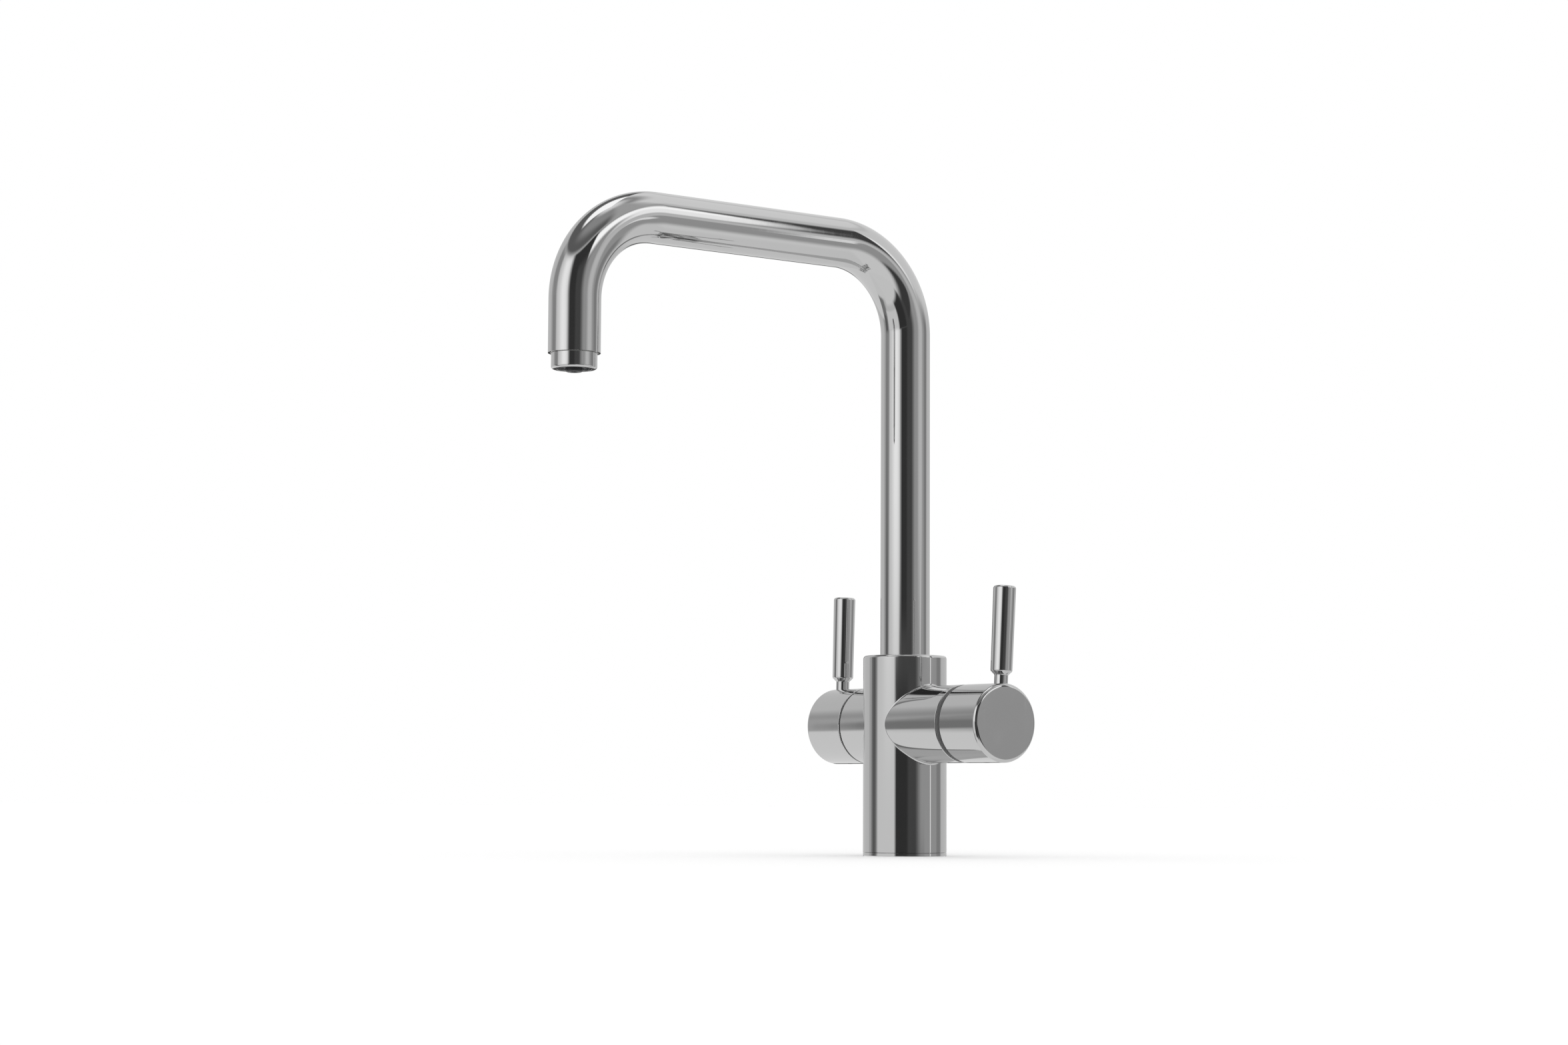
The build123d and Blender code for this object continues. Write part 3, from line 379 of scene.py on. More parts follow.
# %% Mix the chrome
CHROME_LEVEL = 0.606
LOWEST_ROUGHNESS = 0.035
BUFFING_HEIGHT = 4e-6
HAIRLINE_HEIGHT = 4e-7
chrome, tree, shader = new_material("polished chrome")
shader.inputs["Base Color"].default_value = (CHROME_LEVEL, CHROME_LEVEL, CHROME_LEVEL, 1)
shader.inputs["Metallic"].default_value = 1.0
smudges = noise_on(tree, 38, 5)
hairlines = noise_on(tree, 1.0, 2, stretch=(900, 900, 30))
dulled = between(tree, smudges, 0.0, 0.05, 0.52, 0.78)
combed = between(tree, hairlines, 0.0, 0.03, 0.55, 0.80)
roughness = add_node(tree, "ShaderNodeMath", operation="ADD")
join(tree, dulled, roughness, to=0)
join(tree, combed, roughness, to=1)
polish = add_node(tree, "ShaderNodeMath", {1: LOWEST_ROUGHNESS}, operation="ADD")
join(tree, roughness, polish, to=0)
join(tree, polish, shader, to="Roughness")
buffing = bump_from(tree, noise_on(tree, 90, 1), BUFFING_HEIGHT)
scratches = bump_from(tree, hairlines, HAIRLINE_HEIGHT, under=buffing)
join(tree, scratches, shader, to="Normal")
finishes["polished_chrome"] = chrome
print("finish:", chrome.name)

# %% [markdown]
# The other finishes
# Inside the tap and in its seams are brass, steel, moulded plastics, ceramic, rubber and a silicone
# tube, and the chromed faces that meet in the seams are turned but never buffed. Little of them shows,
# but each still gets what its making leaves behind: turning rings on metal, the fine grain of a mould
# on plastic, a lapped face on ceramic, and a dusty bloom on rubber. One function makes them all, since
# they differ only in numbers.

# %% One function for plain finishes
def plain_finish(slot, name, colours, metallic, roughness, grain, height, rings=0.0):
    """A finish with speckled colour, uneven roughness and a fine grain, turned in rings if asked."""
    made, tree, shader = new_material(name)
    shader.inputs["Metallic"].default_value = metallic
    patches = noise_on(tree, 45, 4)
    tint = add_node(tree, "ShaderNodeMix", {6: (*colours[0], 1), 7: (*colours[1], 1)}, data_type="RGBA")
    join(tree, between(tree, patches, 0, 1, 0.35, 0.65), tint, to="Factor")
    join(tree, tint, shader, output=2, to="Base Color")
    fine = noise_on(tree, grain, 3)
    join(tree, between(tree, fine, roughness[0], roughness[1], 0.3, 0.7), shader, to="Roughness")
    texture = bump_from(tree, fine, height)
    if rings:
        where = add_node(tree, "ShaderNodeTexCoord")
        turned = add_node(
            tree, "ShaderNodeTexWave", {"Scale": rings, "Distortion": 0.4},
            wave_type="BANDS", bands_direction="DIAGONAL",
        )
        join(tree, where, turned, output="Object")
        texture = bump_from(tree, turned, height, under=texture)
    join(tree, texture, shader, to="Normal")
    finishes[slot] = made
    return shader


# %% Mix the other finishes
plain_finish("brass", "machined brass", ((0.58, 0.40, 0.14), (0.68, 0.49, 0.20)), 1.0, (0.22, 0.38),
             1500, 6e-6, rings=900)
plain_finish("stainless_steel", "stainless steel", ((0.50, 0.50, 0.49), (0.58, 0.58, 0.57)), 1.0,
             (0.20, 0.34), 1800, 4e-6, rings=1100)
plain_finish("black_acetal", "black acetal", ((0.016, 0.016, 0.018), (0.026, 0.026, 0.028)), 0.0,
             (0.30, 0.46), 2600, 8e-6)
plain_finish("white_acetal", "white acetal", ((0.66, 0.66, 0.62), (0.74, 0.74, 0.70)), 0.0,
             (0.30, 0.45), 2600, 8e-6)
plain_finish("grey_plastic", "dark moulded plastic", ((0.085, 0.088, 0.092), (0.12, 0.124, 0.13)), 0.0,
             (0.36, 0.52), 2600, 1e-5)
plain_finish("seam_ring", "smoke-grey metallised plastic", ((0.24, 0.243, 0.25), (0.29, 0.294, 0.30)), 1.0,
             (0.14, 0.24), 2600, 2e-6)
plain_finish("turned_chrome", "turned and plated face", ((0.39, 0.39, 0.39), (0.46, 0.46, 0.46)), 0.6,
             (0.46, 0.60), 1800, 3e-6, rings=1100)
plain_finish("ceramic", "lapped ceramic", ((0.78, 0.76, 0.70), (0.84, 0.82, 0.77)), 0.0,
             (0.10, 0.22), 3200, 2e-6)
plain_finish("black_rubber", "black rubber", ((0.012, 0.012, 0.012), (0.024, 0.023, 0.022)), 0.0,
             (0.55, 0.78), 1400, 1.5e-5)
silicone = plain_finish("silicone_tube", "silicone tube", ((0.60, 0.60, 0.57), (0.68, 0.68, 0.65)), 0.0,
                        (0.28, 0.40), 1200, 6e-6)
silicone.inputs["Subsurface Weight"].default_value = 0.25
print("finishes:", ", ".join(sorted(finishes)))

# %% [markdown]
# A lathe in Geometry Nodes
# Levers, rings, the outlet and the nozzle are all turned on a lathe, so one tree makes them. It takes
# the piece's half outline as a string of corner points, each with the radius that its corner is
# rounded to, rounds the corners with Fillet Curve, and sweeps the outline round a small circle. Spin
# would do the same once, but the tree keeps its sizes as inputs that can be changed and tried again.

# %% Helpers that start and end a tree
def new_geometry_tree(name, numbers):
    """An empty Geometry Nodes tree with a geometry, a material and the named number inputs."""
    tree = bpy.data.node_groups.new(name, "GeometryNodeTree")
    tree.interface.new_socket("Geometry", in_out="INPUT", socket_type="NodeSocketGeometry")
    for label, kind in numbers.items():
        tree.interface.new_socket(label, in_out="INPUT", socket_type=kind)
    tree.interface.new_socket("Material", in_out="INPUT", socket_type="NodeSocketMaterial")
    tree.interface.new_socket("Geometry", in_out="OUTPUT", socket_type="NodeSocketGeometry")
    return tree, add_node(tree, "NodeGroupInput")


def end_tree(tree, inputs, last):
    """Finish a tree with real, smooth geometry in the chosen material."""
    real = add_node(tree, "GeometryNodeRealizeInstances")
    smooth = add_node(tree, "GeometryNodeSetShadeSmooth")
    coat = add_node(tree, "GeometryNodeSetMaterial")
    join(tree, last, real)
    join(tree, real, smooth)
    join(tree, smooth, coat)
    join(tree, inputs, coat, output="Material", to="Material")
    join(tree, coat, add_node(tree, "NodeGroupOutput"))


# %% Build the lathe tree
TRACK_RADIUS = 0.05
lathe, given = new_geometry_tree("lathe", {
    "Steps round": "NodeSocketInt",
    "Steps per corner": "NodeSocketInt",
})
outline = add_node(lathe, "GeometryNodeMeshToCurve")
rounding = add_node(lathe, "GeometryNodeInputNamedAttribute", {"Name": "rounding"}, data_type="FLOAT")
corners = add_node(lathe, "GeometryNodeFilletCurve", {"Limit Radius": True}, mode="POLY")
track = add_node(lathe, "GeometryNodeCurvePrimitiveCircle", {"Radius": TRACK_RADIUS}, mode="RADIUS")
sweep = add_node(lathe, "GeometryNodeCurveToMesh")
seam = add_node(lathe, "GeometryNodeMergeByDistance", {"Distance": 2e-6})
join(lathe, given, outline, output="Geometry")
join(lathe, outline, corners)
join(lathe, rounding, corners, to="Radius")
join(lathe, given, corners, output="Steps per corner", to="Count")
join(lathe, given, track, output="Steps round", to="Resolution")
join(lathe, track, sweep)
join(lathe, corners, sweep, to="Profile Curve")
join(lathe, sweep, seam)
end_tree(lathe, given, seam)
print("lathe tree:", len(lathe.nodes), "nodes")

# %% [markdown]
# From a modifier to a finished piece
# A Geometry Nodes result lives in a modifier. Turning it into a plain mesh fixes it, and then its
# shading is put right. A mirror shows the smallest error in a normal, so sharp corners are marked by
# their angle and a Weighted Normal modifier lets the large faces decide: flat ends stay dead flat and
# the small roundings carry the whole bend.

# %% From modifiers to a mesh
SHARP_ANGLE = radians(28)


def link_piece(name, mesh):
    """A new object in the scene."""
    piece = bpy.data.objects.new(name, mesh)
    bpy.context.scene.collection.objects.link(piece)
    return piece


def use_tree(piece, tree, values):
    """Put a tree on a piece and set its inputs by their identifiers."""
    modifier = piece.modifiers.new(tree.name, "NODES")
    modifier.node_group = tree
    for item in tree.interface.items_tree:
        if item.in_out == "INPUT" and item.name in values:
            modifier[item.identifier] = values[item.name]


def settle(piece):
    """Replace a piece's mesh by what its modifiers make of it, and take them off."""
    seen_now = bpy.context.evaluated_depsgraph_get()
    mesh = bpy.data.meshes.new_from_object(piece.evaluated_get(seen_now), depsgraph=seen_now)
    piece.modifiers.clear()
    piece.data = mesh
    mesh.name = piece.name


def even_normals(piece):
    """Sharp corners by angle, and normals ruled by the large faces."""
    piece.data.set_sharp_from_angle(angle=SHARP_ANGLE)
    weigh = piece.modifiers.new("weigh", "WEIGHTED_NORMAL")
    weigh.keep_sharp = True
    weigh.weight = 100
    settle(piece)


# %% Hand a piece over to its body
def volume_of(mesh):
    """Signed volume in cubic millimetres; it is positive when faces point outwards."""
    shape = bmesh.new()
    shape.from_mesh(mesh)
    volume = shape.calc_volume(signed=True)
    shape.free()
    return volume / mm ** 3


def hand_over(piece, node):
    """Let a piece ride its node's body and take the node's place."""
    bodies = frame["record"]["behaviour"]["bodies"]
    body = next(name for name, held in bodies.items() if node in held)
    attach(piece, body)
    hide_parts(node)
    faces = len(piece.data.polygons)
    print(f"{piece.name}: {faces} faces, {volume_of(piece.data):.0f} cubic mm, on {body}")


# %% Turn a piece on the lathe
def turned_piece(name, outline, closed, slot, steps=128, corner_steps=8):
    """Lathe work from (radius, height, rounding) corners in millimetres."""
    corners = [((radius * mm) - TRACK_RADIUS, -height * mm, 0) for radius, height, rounding in outline]
    edges = [(number, number + 1) for number in range(len(corners) - 1)]
    if closed:
        edges.append((len(corners) - 1, 0))
    mesh = bpy.data.meshes.new(name)
    mesh.from_pydata(corners, edges, [])
    radii = mesh.attributes.new("rounding", "FLOAT", "POINT")
    radii.data.foreach_set("value", [rounding * mm for radius, height, rounding in outline])
    piece = link_piece(name, mesh)
    values = {"Steps round": steps, "Steps per corner": corner_steps, "Material": finishes[slot]}
    use_tree(piece, lathe, values)
    settle(piece)
    if volume_of(piece.data) < 0:
        piece.data.flip_normals()
    even_normals(piece)
    return piece


# %% [markdown]
# The base ring
# A thin chromed ring between the body and the worktop. On the real tap it only shows as a fine line at
# the foot. Its outline has a small bevel where it meets the body, which makes that line, and the groove
# for the gasket underneath.

# %% Turn the base ring
low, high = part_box("base_ring")
ring_radius = high.x / mm
lip_top = high.z / mm
RING_HEIGHT = 1.95
RING_BEVEL = 0.25
LIP_RADIUS = 19.95
LIP_BORE = 18.75
GROOVE = (21.15, 22.85, 1.25)
base_outline = [
    (LIP_BORE, 0, 0.1), (GROOVE[0], 0, 0), (GROOVE[0], GROOVE[2], 0), (GROOVE[1], GROOVE[2], 0),
    (GROOVE[1], 0, 0), (ring_radius - RING_BEVEL, 0, 0), (ring_radius, RING_BEVEL, 0),
    (ring_radius, RING_HEIGHT - RING_BEVEL, 0), (ring_radius - RING_BEVEL, RING_HEIGHT, 0),
    (LIP_RADIUS, RING_HEIGHT, 0.1), (LIP_RADIUS, lip_top, 0.1), (LIP_BORE, lip_top, 0.1),
]
base = turned_piece("foot_ring", base_outline, True, "polished_chrome")
hand_over(base, "base_ring")

# %% [markdown]
# The spout
# One length of round tube, bent twice. A bent tube is a circle that follows a path, which is just what
# Curve to Mesh does, so the tree takes the path's corners, rounds them to the bend's radius and sweeps
# the circle along it. Solidify then gives the tube its wall.

# %% Build the bent tube tree
bent_tube, given = new_geometry_tree("bent tube", {
    "Bend radius": "NodeSocketFloat",
    "Tube radius": "NodeSocketFloat",
    "Steps per bend": "NodeSocketInt",
    "Steps round": "NodeSocketInt",
})
route = add_node(bent_tube, "GeometryNodeMeshToCurve")
bends = add_node(bent_tube, "GeometryNodeFilletCurve", mode="POLY")
section = add_node(bent_tube, "GeometryNodeCurvePrimitiveCircle", mode="RADIUS")
sweep = add_node(bent_tube, "GeometryNodeCurveToMesh")
join(bent_tube, given, route, output="Geometry")
join(bent_tube, route, bends)
join(bent_tube, given, bends, output="Bend radius", to="Radius")
join(bent_tube, given, bends, output="Steps per bend", to="Count")
join(bent_tube, given, section, output="Steps round", to="Resolution")
join(bent_tube, given, section, output="Tube radius", to="Radius")
join(bent_tube, bends, sweep)
join(bent_tube, section, sweep, to="Profile Curve")
end_tree(bent_tube, given, sweep)
print("bent tube tree:", len(bent_tube.nodes), "nodes")

# %% Bend the spout
TUBE_WALL = 1.2
BEND_RADIUS = 50.0
BEND_STEPS = 40
TUBE_STEPS = 128
low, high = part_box("spout_tube")
tube_radius = (high.x - low.x) / 2
arm_height = high.z - tube_radius
spout_reach = -low.y - tube_radius
outlet_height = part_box("outlet_sleeve")[0].z
route_mesh = bpy.data.meshes.new("spout")
route_corners = [
    (0, 0, low.z), (0, 0, arm_height), (0, -spout_reach, arm_height), (0, -spout_reach, outlet_height),
]
route_mesh.from_pydata(route_corners, [(0, 1), (1, 2), (2, 3)], [])
spout = link_piece("spout", route_mesh)
use_tree(spout, bent_tube, {
    "Bend radius": BEND_RADIUS * mm,
    "Tube radius": tube_radius,
    "Steps per bend": BEND_STEPS,
    "Steps round": TUBE_STEPS,
    "Material": chrome,
})
settle(spout)
first = spout.data.polygons[0]
if first.normal.dot(first.center - Vector((0, 0, low.z))) < 0:
    spout.data.flip_normals()
wall = spout.modifiers.new("wall", "SOLIDIFY")
wall.thickness = TUBE_WALL * mm
wall.offset = -1
settle(spout)
even_normals(spout)
hand_over(spout, "spout_tube")

# %% [markdown]
# The levers
# Each lever is a slim turned rod with a shoulder and a thin neck, screwed into its hub. Both have one
# outline. They stand on the barrel's axis and lean back by their own small angle, so the outline is
# measured from that axis and each copy is tilted about it before it takes its place.

# %% Turn the levers
AXIS_HEIGHT = 74.8
STUD_RADIUS, STUD_FOOT, STUD_TOP = 3, 11, 21
NECK_RADIUS, NECK_TOP = 3.9, 26.6
ROD_FOOT_RADIUS, ROD_FOOT = 6.1, 28.8
ROD_TOP_RADIUS, ROD_TOP = 6.4, 76.3
lever_outline = [
    (0, STUD_FOOT, 0), (STUD_RADIUS, STUD_FOOT, 0.3), (STUD_RADIUS, STUD_TOP, 0),
    (NECK_RADIUS, STUD_TOP, 0), (NECK_RADIUS, NECK_TOP, 0.9), (ROD_FOOT_RADIUS, ROD_FOOT, 1.1),
    (ROD_TOP_RADIUS, ROD_TOP, 1.5), (0, ROD_TOP, 0),
]


def standing_lever(name, node, along, lean):
    """A lever on the barrel's axis, so far along it, tilted about it."""
    lever = turned_piece(name, lever_outline, False, "polished_chrome", steps=96)
    tilt = Matrix.Rotation(radians(lean), 4, "X")
    lever.data.transform(Matrix.Translation((along * mm, 0, AXIS_HEIGHT * mm)) @ tilt)
    hand_over(lever, node)


MIXER_LEVER_X = -60.6
BOIL_LEVER_X = 84.8
MIXER_LEAN = -1.4
BOIL_LEAN = -3.0
standing_lever("mixer_lever_rod", "mixer_lever", MIXER_LEVER_X, MIXER_LEAN)
standing_lever("boiling_lever_rod", "boil_lever", BOIL_LEVER_X, BOIL_LEAN)

# %% [markdown]
# The outlet
# Inside the spout's end sits a stepped chrome housing with a slotted plastic insert, and through the
# middle of it comes a dark nozzle for the boiling water. Housing and nozzle are lathe work.

# %% Turn the aerator housing
outlet_place = Matrix.Translation((0, -spout_reach, 0))
housing_low, housing_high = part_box("aerator_housing")
outlet_bottom = housing_low.z / mm
step_height = outlet_height / mm
shank_top = housing_high.z / mm
FITTING_GAP = 0.05
RIM_BORE, RIM_HEIGHT = 9.4, 1.4
HOUSING_RADIUS = 12.5
SHANK_RADIUS, SHANK_BORE = 11.85, 10.4
shoulder = step_height - FITTING_GAP
rim_top = outlet_bottom + RIM_HEIGHT
housing_outline = [
    (RIM_BORE, outlet_bottom, 0.15), (HOUSING_RADIUS, outlet_bottom, 1.3), (HOUSING_RADIUS, shoulder, 0.2),
    (SHANK_RADIUS, shoulder, 0), (SHANK_RADIUS, shank_top, 0.2), (SHANK_BORE, shank_top, 0.2),
    (SHANK_BORE, rim_top, 0), (RIM_BORE, rim_top, 0.15),
]
housing = turned_piece("outlet_housing", housing_outline, True, "polished_chrome")
housing.data.transform(outlet_place)
hand_over(housing, "aerator_housing")

# %% Turn the nozzle
FLOOR_THICKNESS = 2.5
COLLAR_HEIGHT = 2.5
MOUTH_RADIUS, NOZZLE_RADIUS = 2.0, 4.6
FLANGE_RADIUS, FLANGE_HEIGHT = 5.8, 1.2
SOCKET_BORE, SOCKET_DEPTH = 3.05, 6
nozzle_low, nozzle_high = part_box("filtered_nozzle")
tip = nozzle_low.z / mm
top = nozzle_high.z / mm
floor_low = rim_top + FITTING_GAP
floor_high = floor_low + FLOOR_THICKNESS
collar_top = floor_high + COLLAR_HEIGHT
flange = collar_top + FITTING_GAP
flange_top = flange + FLANGE_HEIGHT
nozzle_outline = [
    (MOUTH_RADIUS, tip, 0.25), (NOZZLE_RADIUS, tip, 0.8), (NOZZLE_RADIUS, flange, 0),
    (FLANGE_RADIUS, flange, 0.1), (FLANGE_RADIUS, flange_top, 0.1), (NOZZLE_RADIUS, flange_top, 0),
    (NOZZLE_RADIUS, top, 0.2), (SOCKET_BORE, top, 0), (SOCKET_BORE, top - SOCKET_DEPTH, 0),
    (MOUTH_RADIUS, top - SOCKET_DEPTH, 0),
]
nozzle = turned_piece("boiling_nozzle", nozzle_outline, True, "black_acetal", steps=96)
nozzle.data.transform(outlet_place)
hand_over(nozzle, "filtered_nozzle")

# %% [markdown]
# The slotted insert
# Mains water leaves through twenty narrow slots round the nozzle. The slots repeat on a circle, so
# Geometry Nodes sets one cutter on each point of a circle, turns each to face the middle, and cuts
# them all out of the turned cup at once.

# %% Build the slotting tree
slotting, given = new_geometry_tree("radial slots", {
    "Slots": "NodeSocketInt",
    "Circle radius": "NodeSocketFloat",
    "Slot length": "NodeSocketFloat",
    "Slot width": "NodeSocketFloat",
    "Cut depth": "NodeSocketFloat",
    "Height": "NodeSocketFloat",
})
circle = add_node(slotting, "GeometryNodeMeshCircle")
size = add_node(slotting, "ShaderNodeCombineXYZ")
cutter = add_node(slotting, "GeometryNodeMeshCube")
position = add_node(slotting, "GeometryNodeInputPosition")
facing = add_node(slotting, "FunctionNodeAlignEulerToVector", axis="X")
copies = add_node(slotting, "GeometryNodeInstanceOnPoints")
whole = add_node(slotting, "GeometryNodeRealizeInstances")
offset = add_node(slotting, "ShaderNodeCombineXYZ")
lifted = add_node(slotting, "GeometryNodeTransform")
cut = add_node(slotting, "GeometryNodeMeshBoolean", operation="DIFFERENCE")
join(slotting, given, circle, output="Slots", to="Vertices")
join(slotting, given, circle, output="Circle radius", to="Radius")
join(slotting, given, size, output="Slot length", to="X")
join(slotting, given, size, output="Slot width", to="Y")
join(slotting, given, size, output="Cut depth", to="Z")
join(slotting, size, cutter)
join(slotting, position, facing, to="Vector")
join(slotting, circle, copies)
join(slotting, cutter, copies, to="Instance")
join(slotting, facing, copies, to="Rotation")
join(slotting, copies, whole)
join(slotting, given, offset, output="Height", to="Z")
join(slotting, whole, lifted)
join(slotting, offset, lifted, to="Translation")
join(slotting, given, cut, output="Geometry", to="Mesh 1")
join(slotting, lifted, cut, to="Mesh 2")
end_tree(slotting, given, cut)
print("slotting tree:", len(slotting.nodes), "nodes")

# %% Turn and slot the insert
INSERT_BORE = NOZZLE_RADIUS + FITTING_GAP
INSERT_RADIUS = SHANK_BORE - FITTING_GAP
CUP_BORE = 9.05
COLLAR_RADIUS = 5.75
SLOT_CUT_RISE = 1.0
cup_top = shank_top - FITTING_GAP
insert_outline = [
    (INSERT_BORE, floor_low, 0.1), (INSERT_RADIUS, floor_low, 0.1), (INSERT_RADIUS, cup_top, 0.1),
    (CUP_BORE, cup_top, 0.1), (CUP_BORE, floor_high, 0), (COLLAR_RADIUS, floor_high, 0),
    (COLLAR_RADIUS, collar_top, 0.1), (INSERT_BORE, collar_top, 0.1),
]
insert = turned_piece("slotted_insert", insert_outline, True, "grey_plastic", steps=80, corner_steps=3)
use_tree(insert, slotting, {
    "Slots": 20,
    "Circle radius": 7.4 * mm,
    "Slot length": 3.2 * mm,
    "Slot width": 0.9 * mm,
    "Cut depth": 4.0 * mm,
    "Height": (floor_low + SLOT_CUT_RISE) * mm,
    "Material": finishes["grey_plastic"],
})
settle(insert)
even_normals(insert)
insert.data.transform(outlet_place)
hand_over(insert, "aerator_insert")

# %% [markdown]
# The body and the hubs, with true normals
# The body casting and the two hubs have shapes that the solid model already holds exactly: the joint
# of upright and barrel, the ports underneath, the bores. Only the shading needs help, because the
# solid arrives as flat triangles. A merged copy keeps the shape, and then every corner is given the
# normal of the smooth surface that its triangle was cut from: a cylinder, a flat end, a rounded rim,
# or the fillet that a small ball leaves when it rolls along the joint. The faces that meet in the seams
# are turned and plated but not buffed, so they catch some light in the gap instead of mirroring it.

# %% Surfaces that know their normals
def round_bar(axis, centre, radius):
    """A cylinder: how far points lie from it, and its outward normals there."""
    def fit(points):
        arms = points - centre
        arms = arms - np.outer(arms @ axis, axis)
        lengths = np.linalg.norm(arms, axis=1) + 1e-12
        return abs(lengths - radius), arms / lengths[:, None]
    return fit


def flat_end(axis, centre):
    """A plane across an axis, facing along it."""
    def fit(points):
        return abs((points - centre) @ axis), np.tile(axis, (len(points), 1))
    return fit


def rounded_rim(axis, centre, radius, edge):
    """The rounded edge of a bar: part of a torus."""
    def fit(points):
        arms = points - centre
        out = arms - np.outer(arms @ axis, axis)
        out = out / (np.linalg.norm(out, axis=1) + 1e-12)[:, None]
        spokes = arms - out * radius
        lengths = np.linalg.norm(spokes, axis=1) + 1e-12
        return abs(lengths - edge), spokes / lengths[:, None]
    return fit


# %% The fillet between upright and barrel
def rolled_joint(upright_radius, barrel_radius, height, ball):
    """The fillet that a ball leaves when it rolls round the joint of upright and barrel."""
    turn = np.linspace(0, 2 * pi, 6001)
    y = (barrel_radius + ball) * np.sin(turn)
    z = (barrel_radius + ball) * np.cos(turn) + height
    x = np.sqrt((upright_radius + ball) ** 2 - y ** 2)
    rails = [np.stack([sign * x, y, z], axis=1) for sign in (1, -1)]
    runs = np.concatenate([np.gradient(rail, axis=0) for rail in rails])
    runs = runs / np.linalg.norm(runs, axis=1)[:, None]
    rail = np.concatenate(rails)
    finder = KDTree(len(rail))
    for number, spot in enumerate(rail):
        finder.insert(spot, number)
    finder.balance()

    def fit(points):
        near = np.array([finder.find(point)[1] for point in points])
        spokes = rail[near] - points
        along = runs[near]
        spokes = spokes - (spokes * along).sum(axis=1)[:, None] * along
        lengths = np.linalg.norm(spokes, axis=1) + 1e-12
        return abs(lengths - ball), spokes / lengths[:, None]
    return fit


# %% Copy a node
def merged_copy(name, node):
    """A copy of a node's mesh with its loose triangles joined."""
    mesh = frame["nodes"][node].data.copy()
    shape = bmesh.new()
    shape.from_mesh(mesh)
    bmesh.ops.remove_doubles(shape, verts=shape.verts, dist=0.5e-6)
    shape.to_mesh(mesh)
    shape.free()
    if "custom_normal" in mesh.attributes:
        mesh.attributes.remove(mesh.attributes["custom_normal"])
    mesh.polygons.foreach_set("use_smooth", [True] * len(mesh.polygons))
    mesh.set_sharp_from_angle(angle=SHARP_ANGLE)
    return link_piece(name, mesh)


# %% Give a copy its true normals
FIT_DISTANCE = 0.03 * mm
FIT_ANGLE = radians(22)


def true_normals(piece, surfaces):
    """Give each corner the normal of the surface that its triangle lies on."""
    mesh = piece.data
    spots = np.empty(len(mesh.vertices) * 3)
    mesh.vertices.foreach_get("co", spots)
    spots = spots.reshape(-1, 3)
    corners = np.empty(len(mesh.loops), dtype=np.int64)
    mesh.loops.foreach_get("vertex_index", corners)
    normals = np.empty(len(mesh.loops) * 3)
    mesh.corner_normals.foreach_get("vector", normals)
    normals = normals.reshape(-1, 3, 3)
    faces = spots[corners].reshape(-1, 3, 3)
    flat = np.cross(faces[:, 1] - faces[:, 0], faces[:, 2] - faces[:, 0])
    flat = flat / (np.linalg.norm(flat, axis=1) + 1e-18)[:, None]
    free = np.ones(len(faces), dtype=bool)
    for fit in surfaces:
        waiting = np.flatnonzero(free)
        away, ideal = fit(faces[waiting].reshape(-1, 3))
        away = away.reshape(-1, 3).max(axis=1)
        ideal = ideal.reshape(-1, 3, 3)
        lined_up = (ideal * flat[waiting][:, None]).sum(axis=2).min(axis=1) > cos(FIT_ANGLE)
        chosen = (away < FIT_DISTANCE) & lined_up
        normals[waiting[chosen]] = ideal[chosen]
        free[waiting[chosen]] = False
    mesh.normals_split_custom_set(normals.reshape(-1, 3).tolist())
    print(f"{piece.name}: {int((~free).sum())} of {len(faces)} triangles on true surfaces")


# %% Finish the faces in the seams
FLAT_ANGLE = radians(5)


def seam_finish(piece, places):
    """Chrome the piece, but leave its flat faces across the barrel at these places unbuffed."""
    piece.data.materials.clear()
    for finish in (chrome, finishes["turned_chrome"]):
        piece.data.materials.append(finish)
    for face in piece.data.polygons:
        across = abs(face.normal.x) > cos(FLAT_ANGLE)
        if across and any(abs(face.center.x - place) < FIT_DISTANCE for place in places):
            face.material_index = 1


# %% Plate the body
X = np.array((1.0, 0.0, 0.0))
Z = np.array((0.0, 0.0, 1.0))
ORIGIN = np.zeros(3)
BODY_RADIUS = 24.0 * mm
BODY_EDGE = 1.8 * mm
JOINT_BALL = 1.2 * mm
SEAM_EDGE = 0.4 * mm
HUB_RADIUS = 22.0 * mm
axis_height = AXIS_HEIGHT * mm
low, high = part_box("tap_body")
barrel_line = Z * axis_height
body_surfaces = [
    flat_end(Z, Z * high.z),
    flat_end(X, X * high.x),
    flat_end(-X, X * low.x),
    round_bar(Z, ORIGIN, BODY_RADIUS),
    round_bar(X, barrel_line, HUB_RADIUS),
    rounded_rim(Z, Z * (high.z - BODY_EDGE), BODY_RADIUS - BODY_EDGE, BODY_EDGE),
    rounded_rim(X, barrel_line + X * (high.x - SEAM_EDGE), HUB_RADIUS - SEAM_EDGE, SEAM_EDGE),
    rounded_rim(X, barrel_line + X * (low.x + SEAM_EDGE), HUB_RADIUS - SEAM_EDGE, SEAM_EDGE),
    rolled_joint(BODY_RADIUS, HUB_RADIUS, axis_height, JOINT_BALL),
]
body = merged_copy("body_casting", "tap_body")
seam_finish(body, (low.x, high.x))
true_normals(body, body_surfaces)
hand_over(body, "tap_body")

# %% Plate the hubs
HUB_EDGE = 2.4 * mm


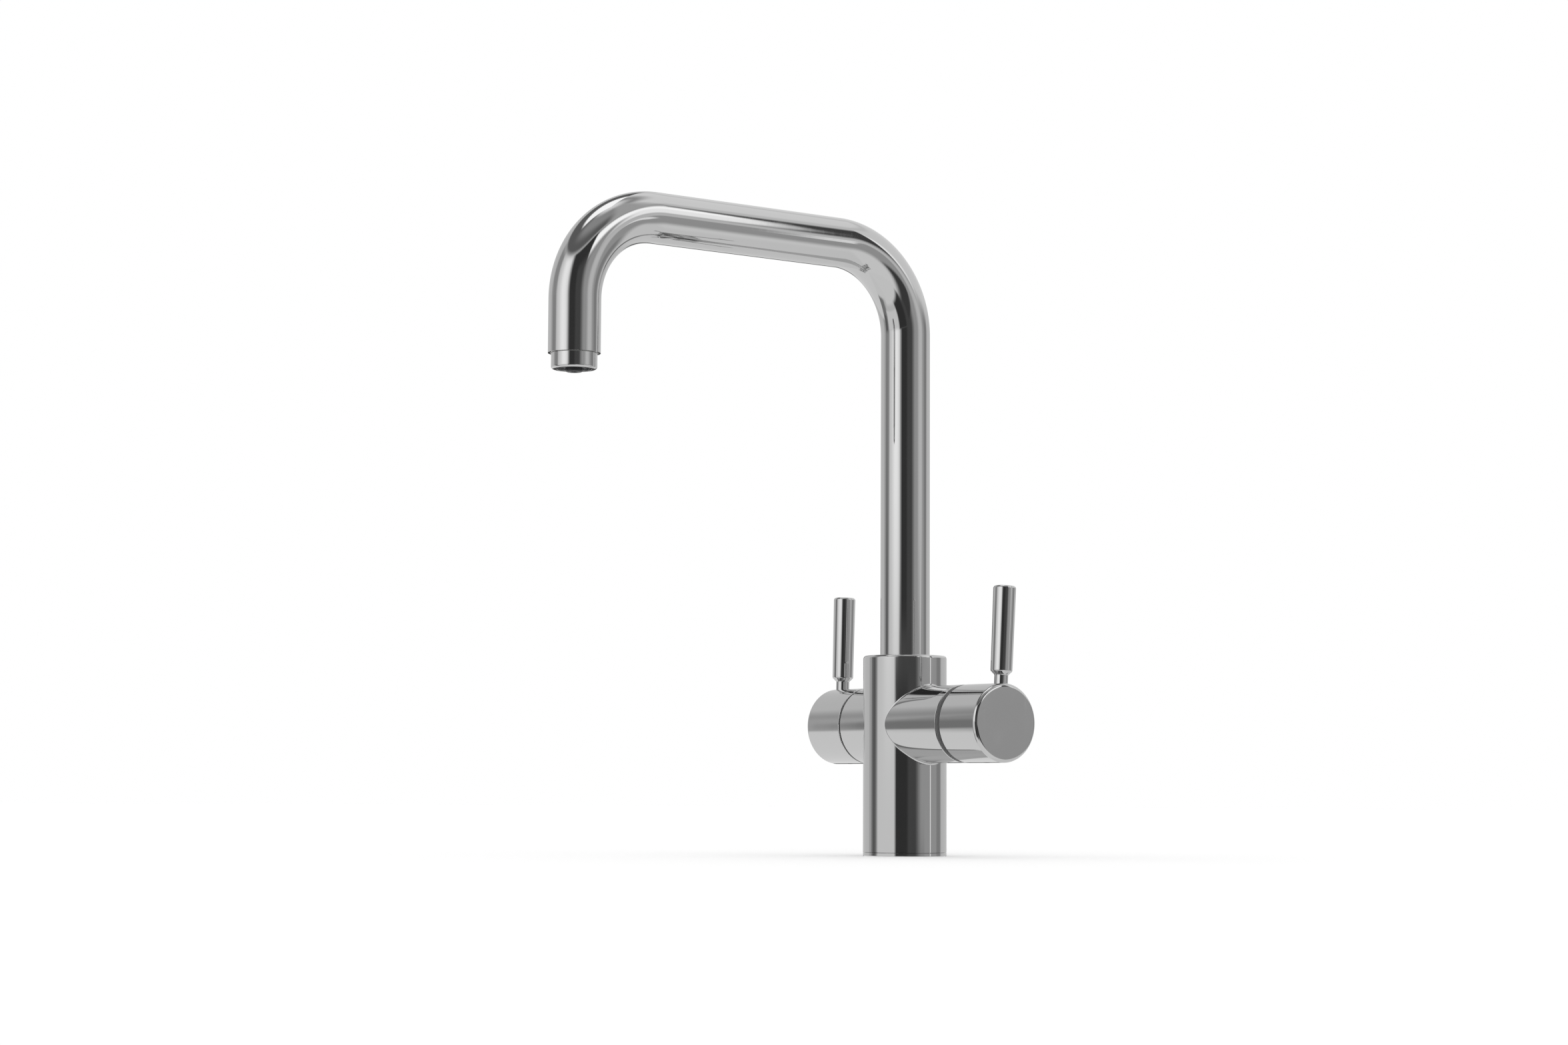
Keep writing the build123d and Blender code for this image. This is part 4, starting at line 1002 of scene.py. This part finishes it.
def plated_hub(name, node, outwards):
    """A hub with a flat end and a rounded rim on its outer side."""
    low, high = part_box(node)
    outer = high.x if outwards > 0 else low.x
    inner = low.x if outwards > 0 else high.x
    rim_centre = barrel_line + X * (outer - outwards * HUB_EDGE)
    seam_centre = barrel_line + X * (inner + outwards * SEAM_EDGE)
    hub = merged_copy(name, node)
    seam_finish(hub, (inner,))
    true_normals(hub, [
        flat_end(X * outwards, X * outer),
        flat_end(-X * outwards, X * inner),
        round_bar(X, barrel_line, HUB_RADIUS),
        rounded_rim(X, rim_centre, HUB_RADIUS - HUB_EDGE, HUB_EDGE),
        rounded_rim(X, seam_centre, HUB_RADIUS - SEAM_EDGE, SEAM_EDGE),
    ])
    hand_over(hub, node)


plated_hub("mixer_hub_shell", "mixer_hub", -1)
plated_hub("boiling_hub_shell", "boil_hub", 1)

# %% [markdown]
# The return spring
# Inside the boiling hub a small coil spring pushes the hub out again. A coil is a wire that follows a
# spiral, and Geometry Nodes has a spiral ready made, so the tree only needs its turns, radius and
# length. The solid model has the spring too, and it can't shorten there. This one is wound to the
# solid's length and width and rides on the same body, and it doesn't shorten either.

# %% Build the coil tree
coil_spring, given = new_geometry_tree("coil spring", {
    "Turns": "NodeSocketFloat",
    "Coil radius": "NodeSocketFloat",
    "Coil length": "NodeSocketFloat",
    "Wire radius": "NodeSocketFloat",
    "Steps per turn": "NodeSocketInt",
    "Steps round": "NodeSocketInt",
})
spiral = add_node(coil_spring, "GeometryNodeCurveSpiral")
wire = add_node(coil_spring, "GeometryNodeCurvePrimitiveCircle", mode="RADIUS")
sweep = add_node(coil_spring, "GeometryNodeCurveToMesh", {"Fill Caps": True})
join(coil_spring, given, spiral, output="Steps per turn", to="Resolution")
join(coil_spring, given, spiral, output="Turns", to="Rotations")
join(coil_spring, given, spiral, output="Coil radius", to="Start Radius")
join(coil_spring, given, spiral, output="Coil radius", to="End Radius")
join(coil_spring, given, spiral, output="Coil length", to="Height")
join(coil_spring, given, wire, output="Steps round", to="Resolution")
join(coil_spring, given, wire, output="Wire radius", to="Radius")
join(coil_spring, spiral, sweep)
join(coil_spring, wire, sweep, to="Profile Curve")
end_tree(coil_spring, given, sweep)
print("coil tree:", len(coil_spring.nodes), "nodes")

# %% Wind the return spring
SPRING_TURNS = 4.0
WIRE_RADIUS = 0.5 * mm
low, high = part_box("boil_return_spring")
spring = link_piece("return_spring", bpy.data.meshes.new("return_spring"))
use_tree(spring, coil_spring, {
    "Turns": SPRING_TURNS,
    "Coil radius": (high.z - low.z) / 2 - WIRE_RADIUS,
    "Coil length": high.x - low.x - 2 * WIRE_RADIUS,
    "Wire radius": WIRE_RADIUS,
    "Steps per turn": 48,
    "Steps round": 16,
    "Material": finishes["stainless_steel"],
})
settle(spring)
if volume_of(spring.data) < 0:
    spring.data.flip_normals()
even_normals(spring)
along_x = Matrix.Rotation(radians(90), 4, "Y")
spring.data.transform(Matrix.Translation((low.x + WIRE_RADIUS, 0, AXIS_HEIGHT * mm)) @ along_x)
hand_over(spring, "boil_return_spring")
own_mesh(spring)

# %% [markdown]
# The pieces inside
# Everything else keeps its solid and only changes its finish: bushes, discs, spindles, seals and
# screws. Their shapes are right as they are, and most of them only show when the tap is taken apart or
# seen from below. The rings in the two seams are bright moulded plastic, whatever slot they share.

# %% Finish the carried-over nodes
SEAM_RINGS = ("mixer_guide_ring", "boil_guide_ring")
kept = 0
for row in frame["record"]["subparts"]:
    node = frame["nodes"][row["node"]]
    finish = "seam_ring" if row["node"] in SEAM_RINGS else row["material_slot"]
    if not node.hide_render:
        for held in node.material_slots:
            held.material = finishes[finish]
        kept += 1
print("nodes kept with a new finish:", kept)

# %% Write the sizes and finish
new_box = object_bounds()
for corner in (0, 1):
    change = [(new_box[corner][i] - cad_box[corner][i]) / mm for i in range(3)]
    print("box change in mm:", [round(value, 3) for value in change])
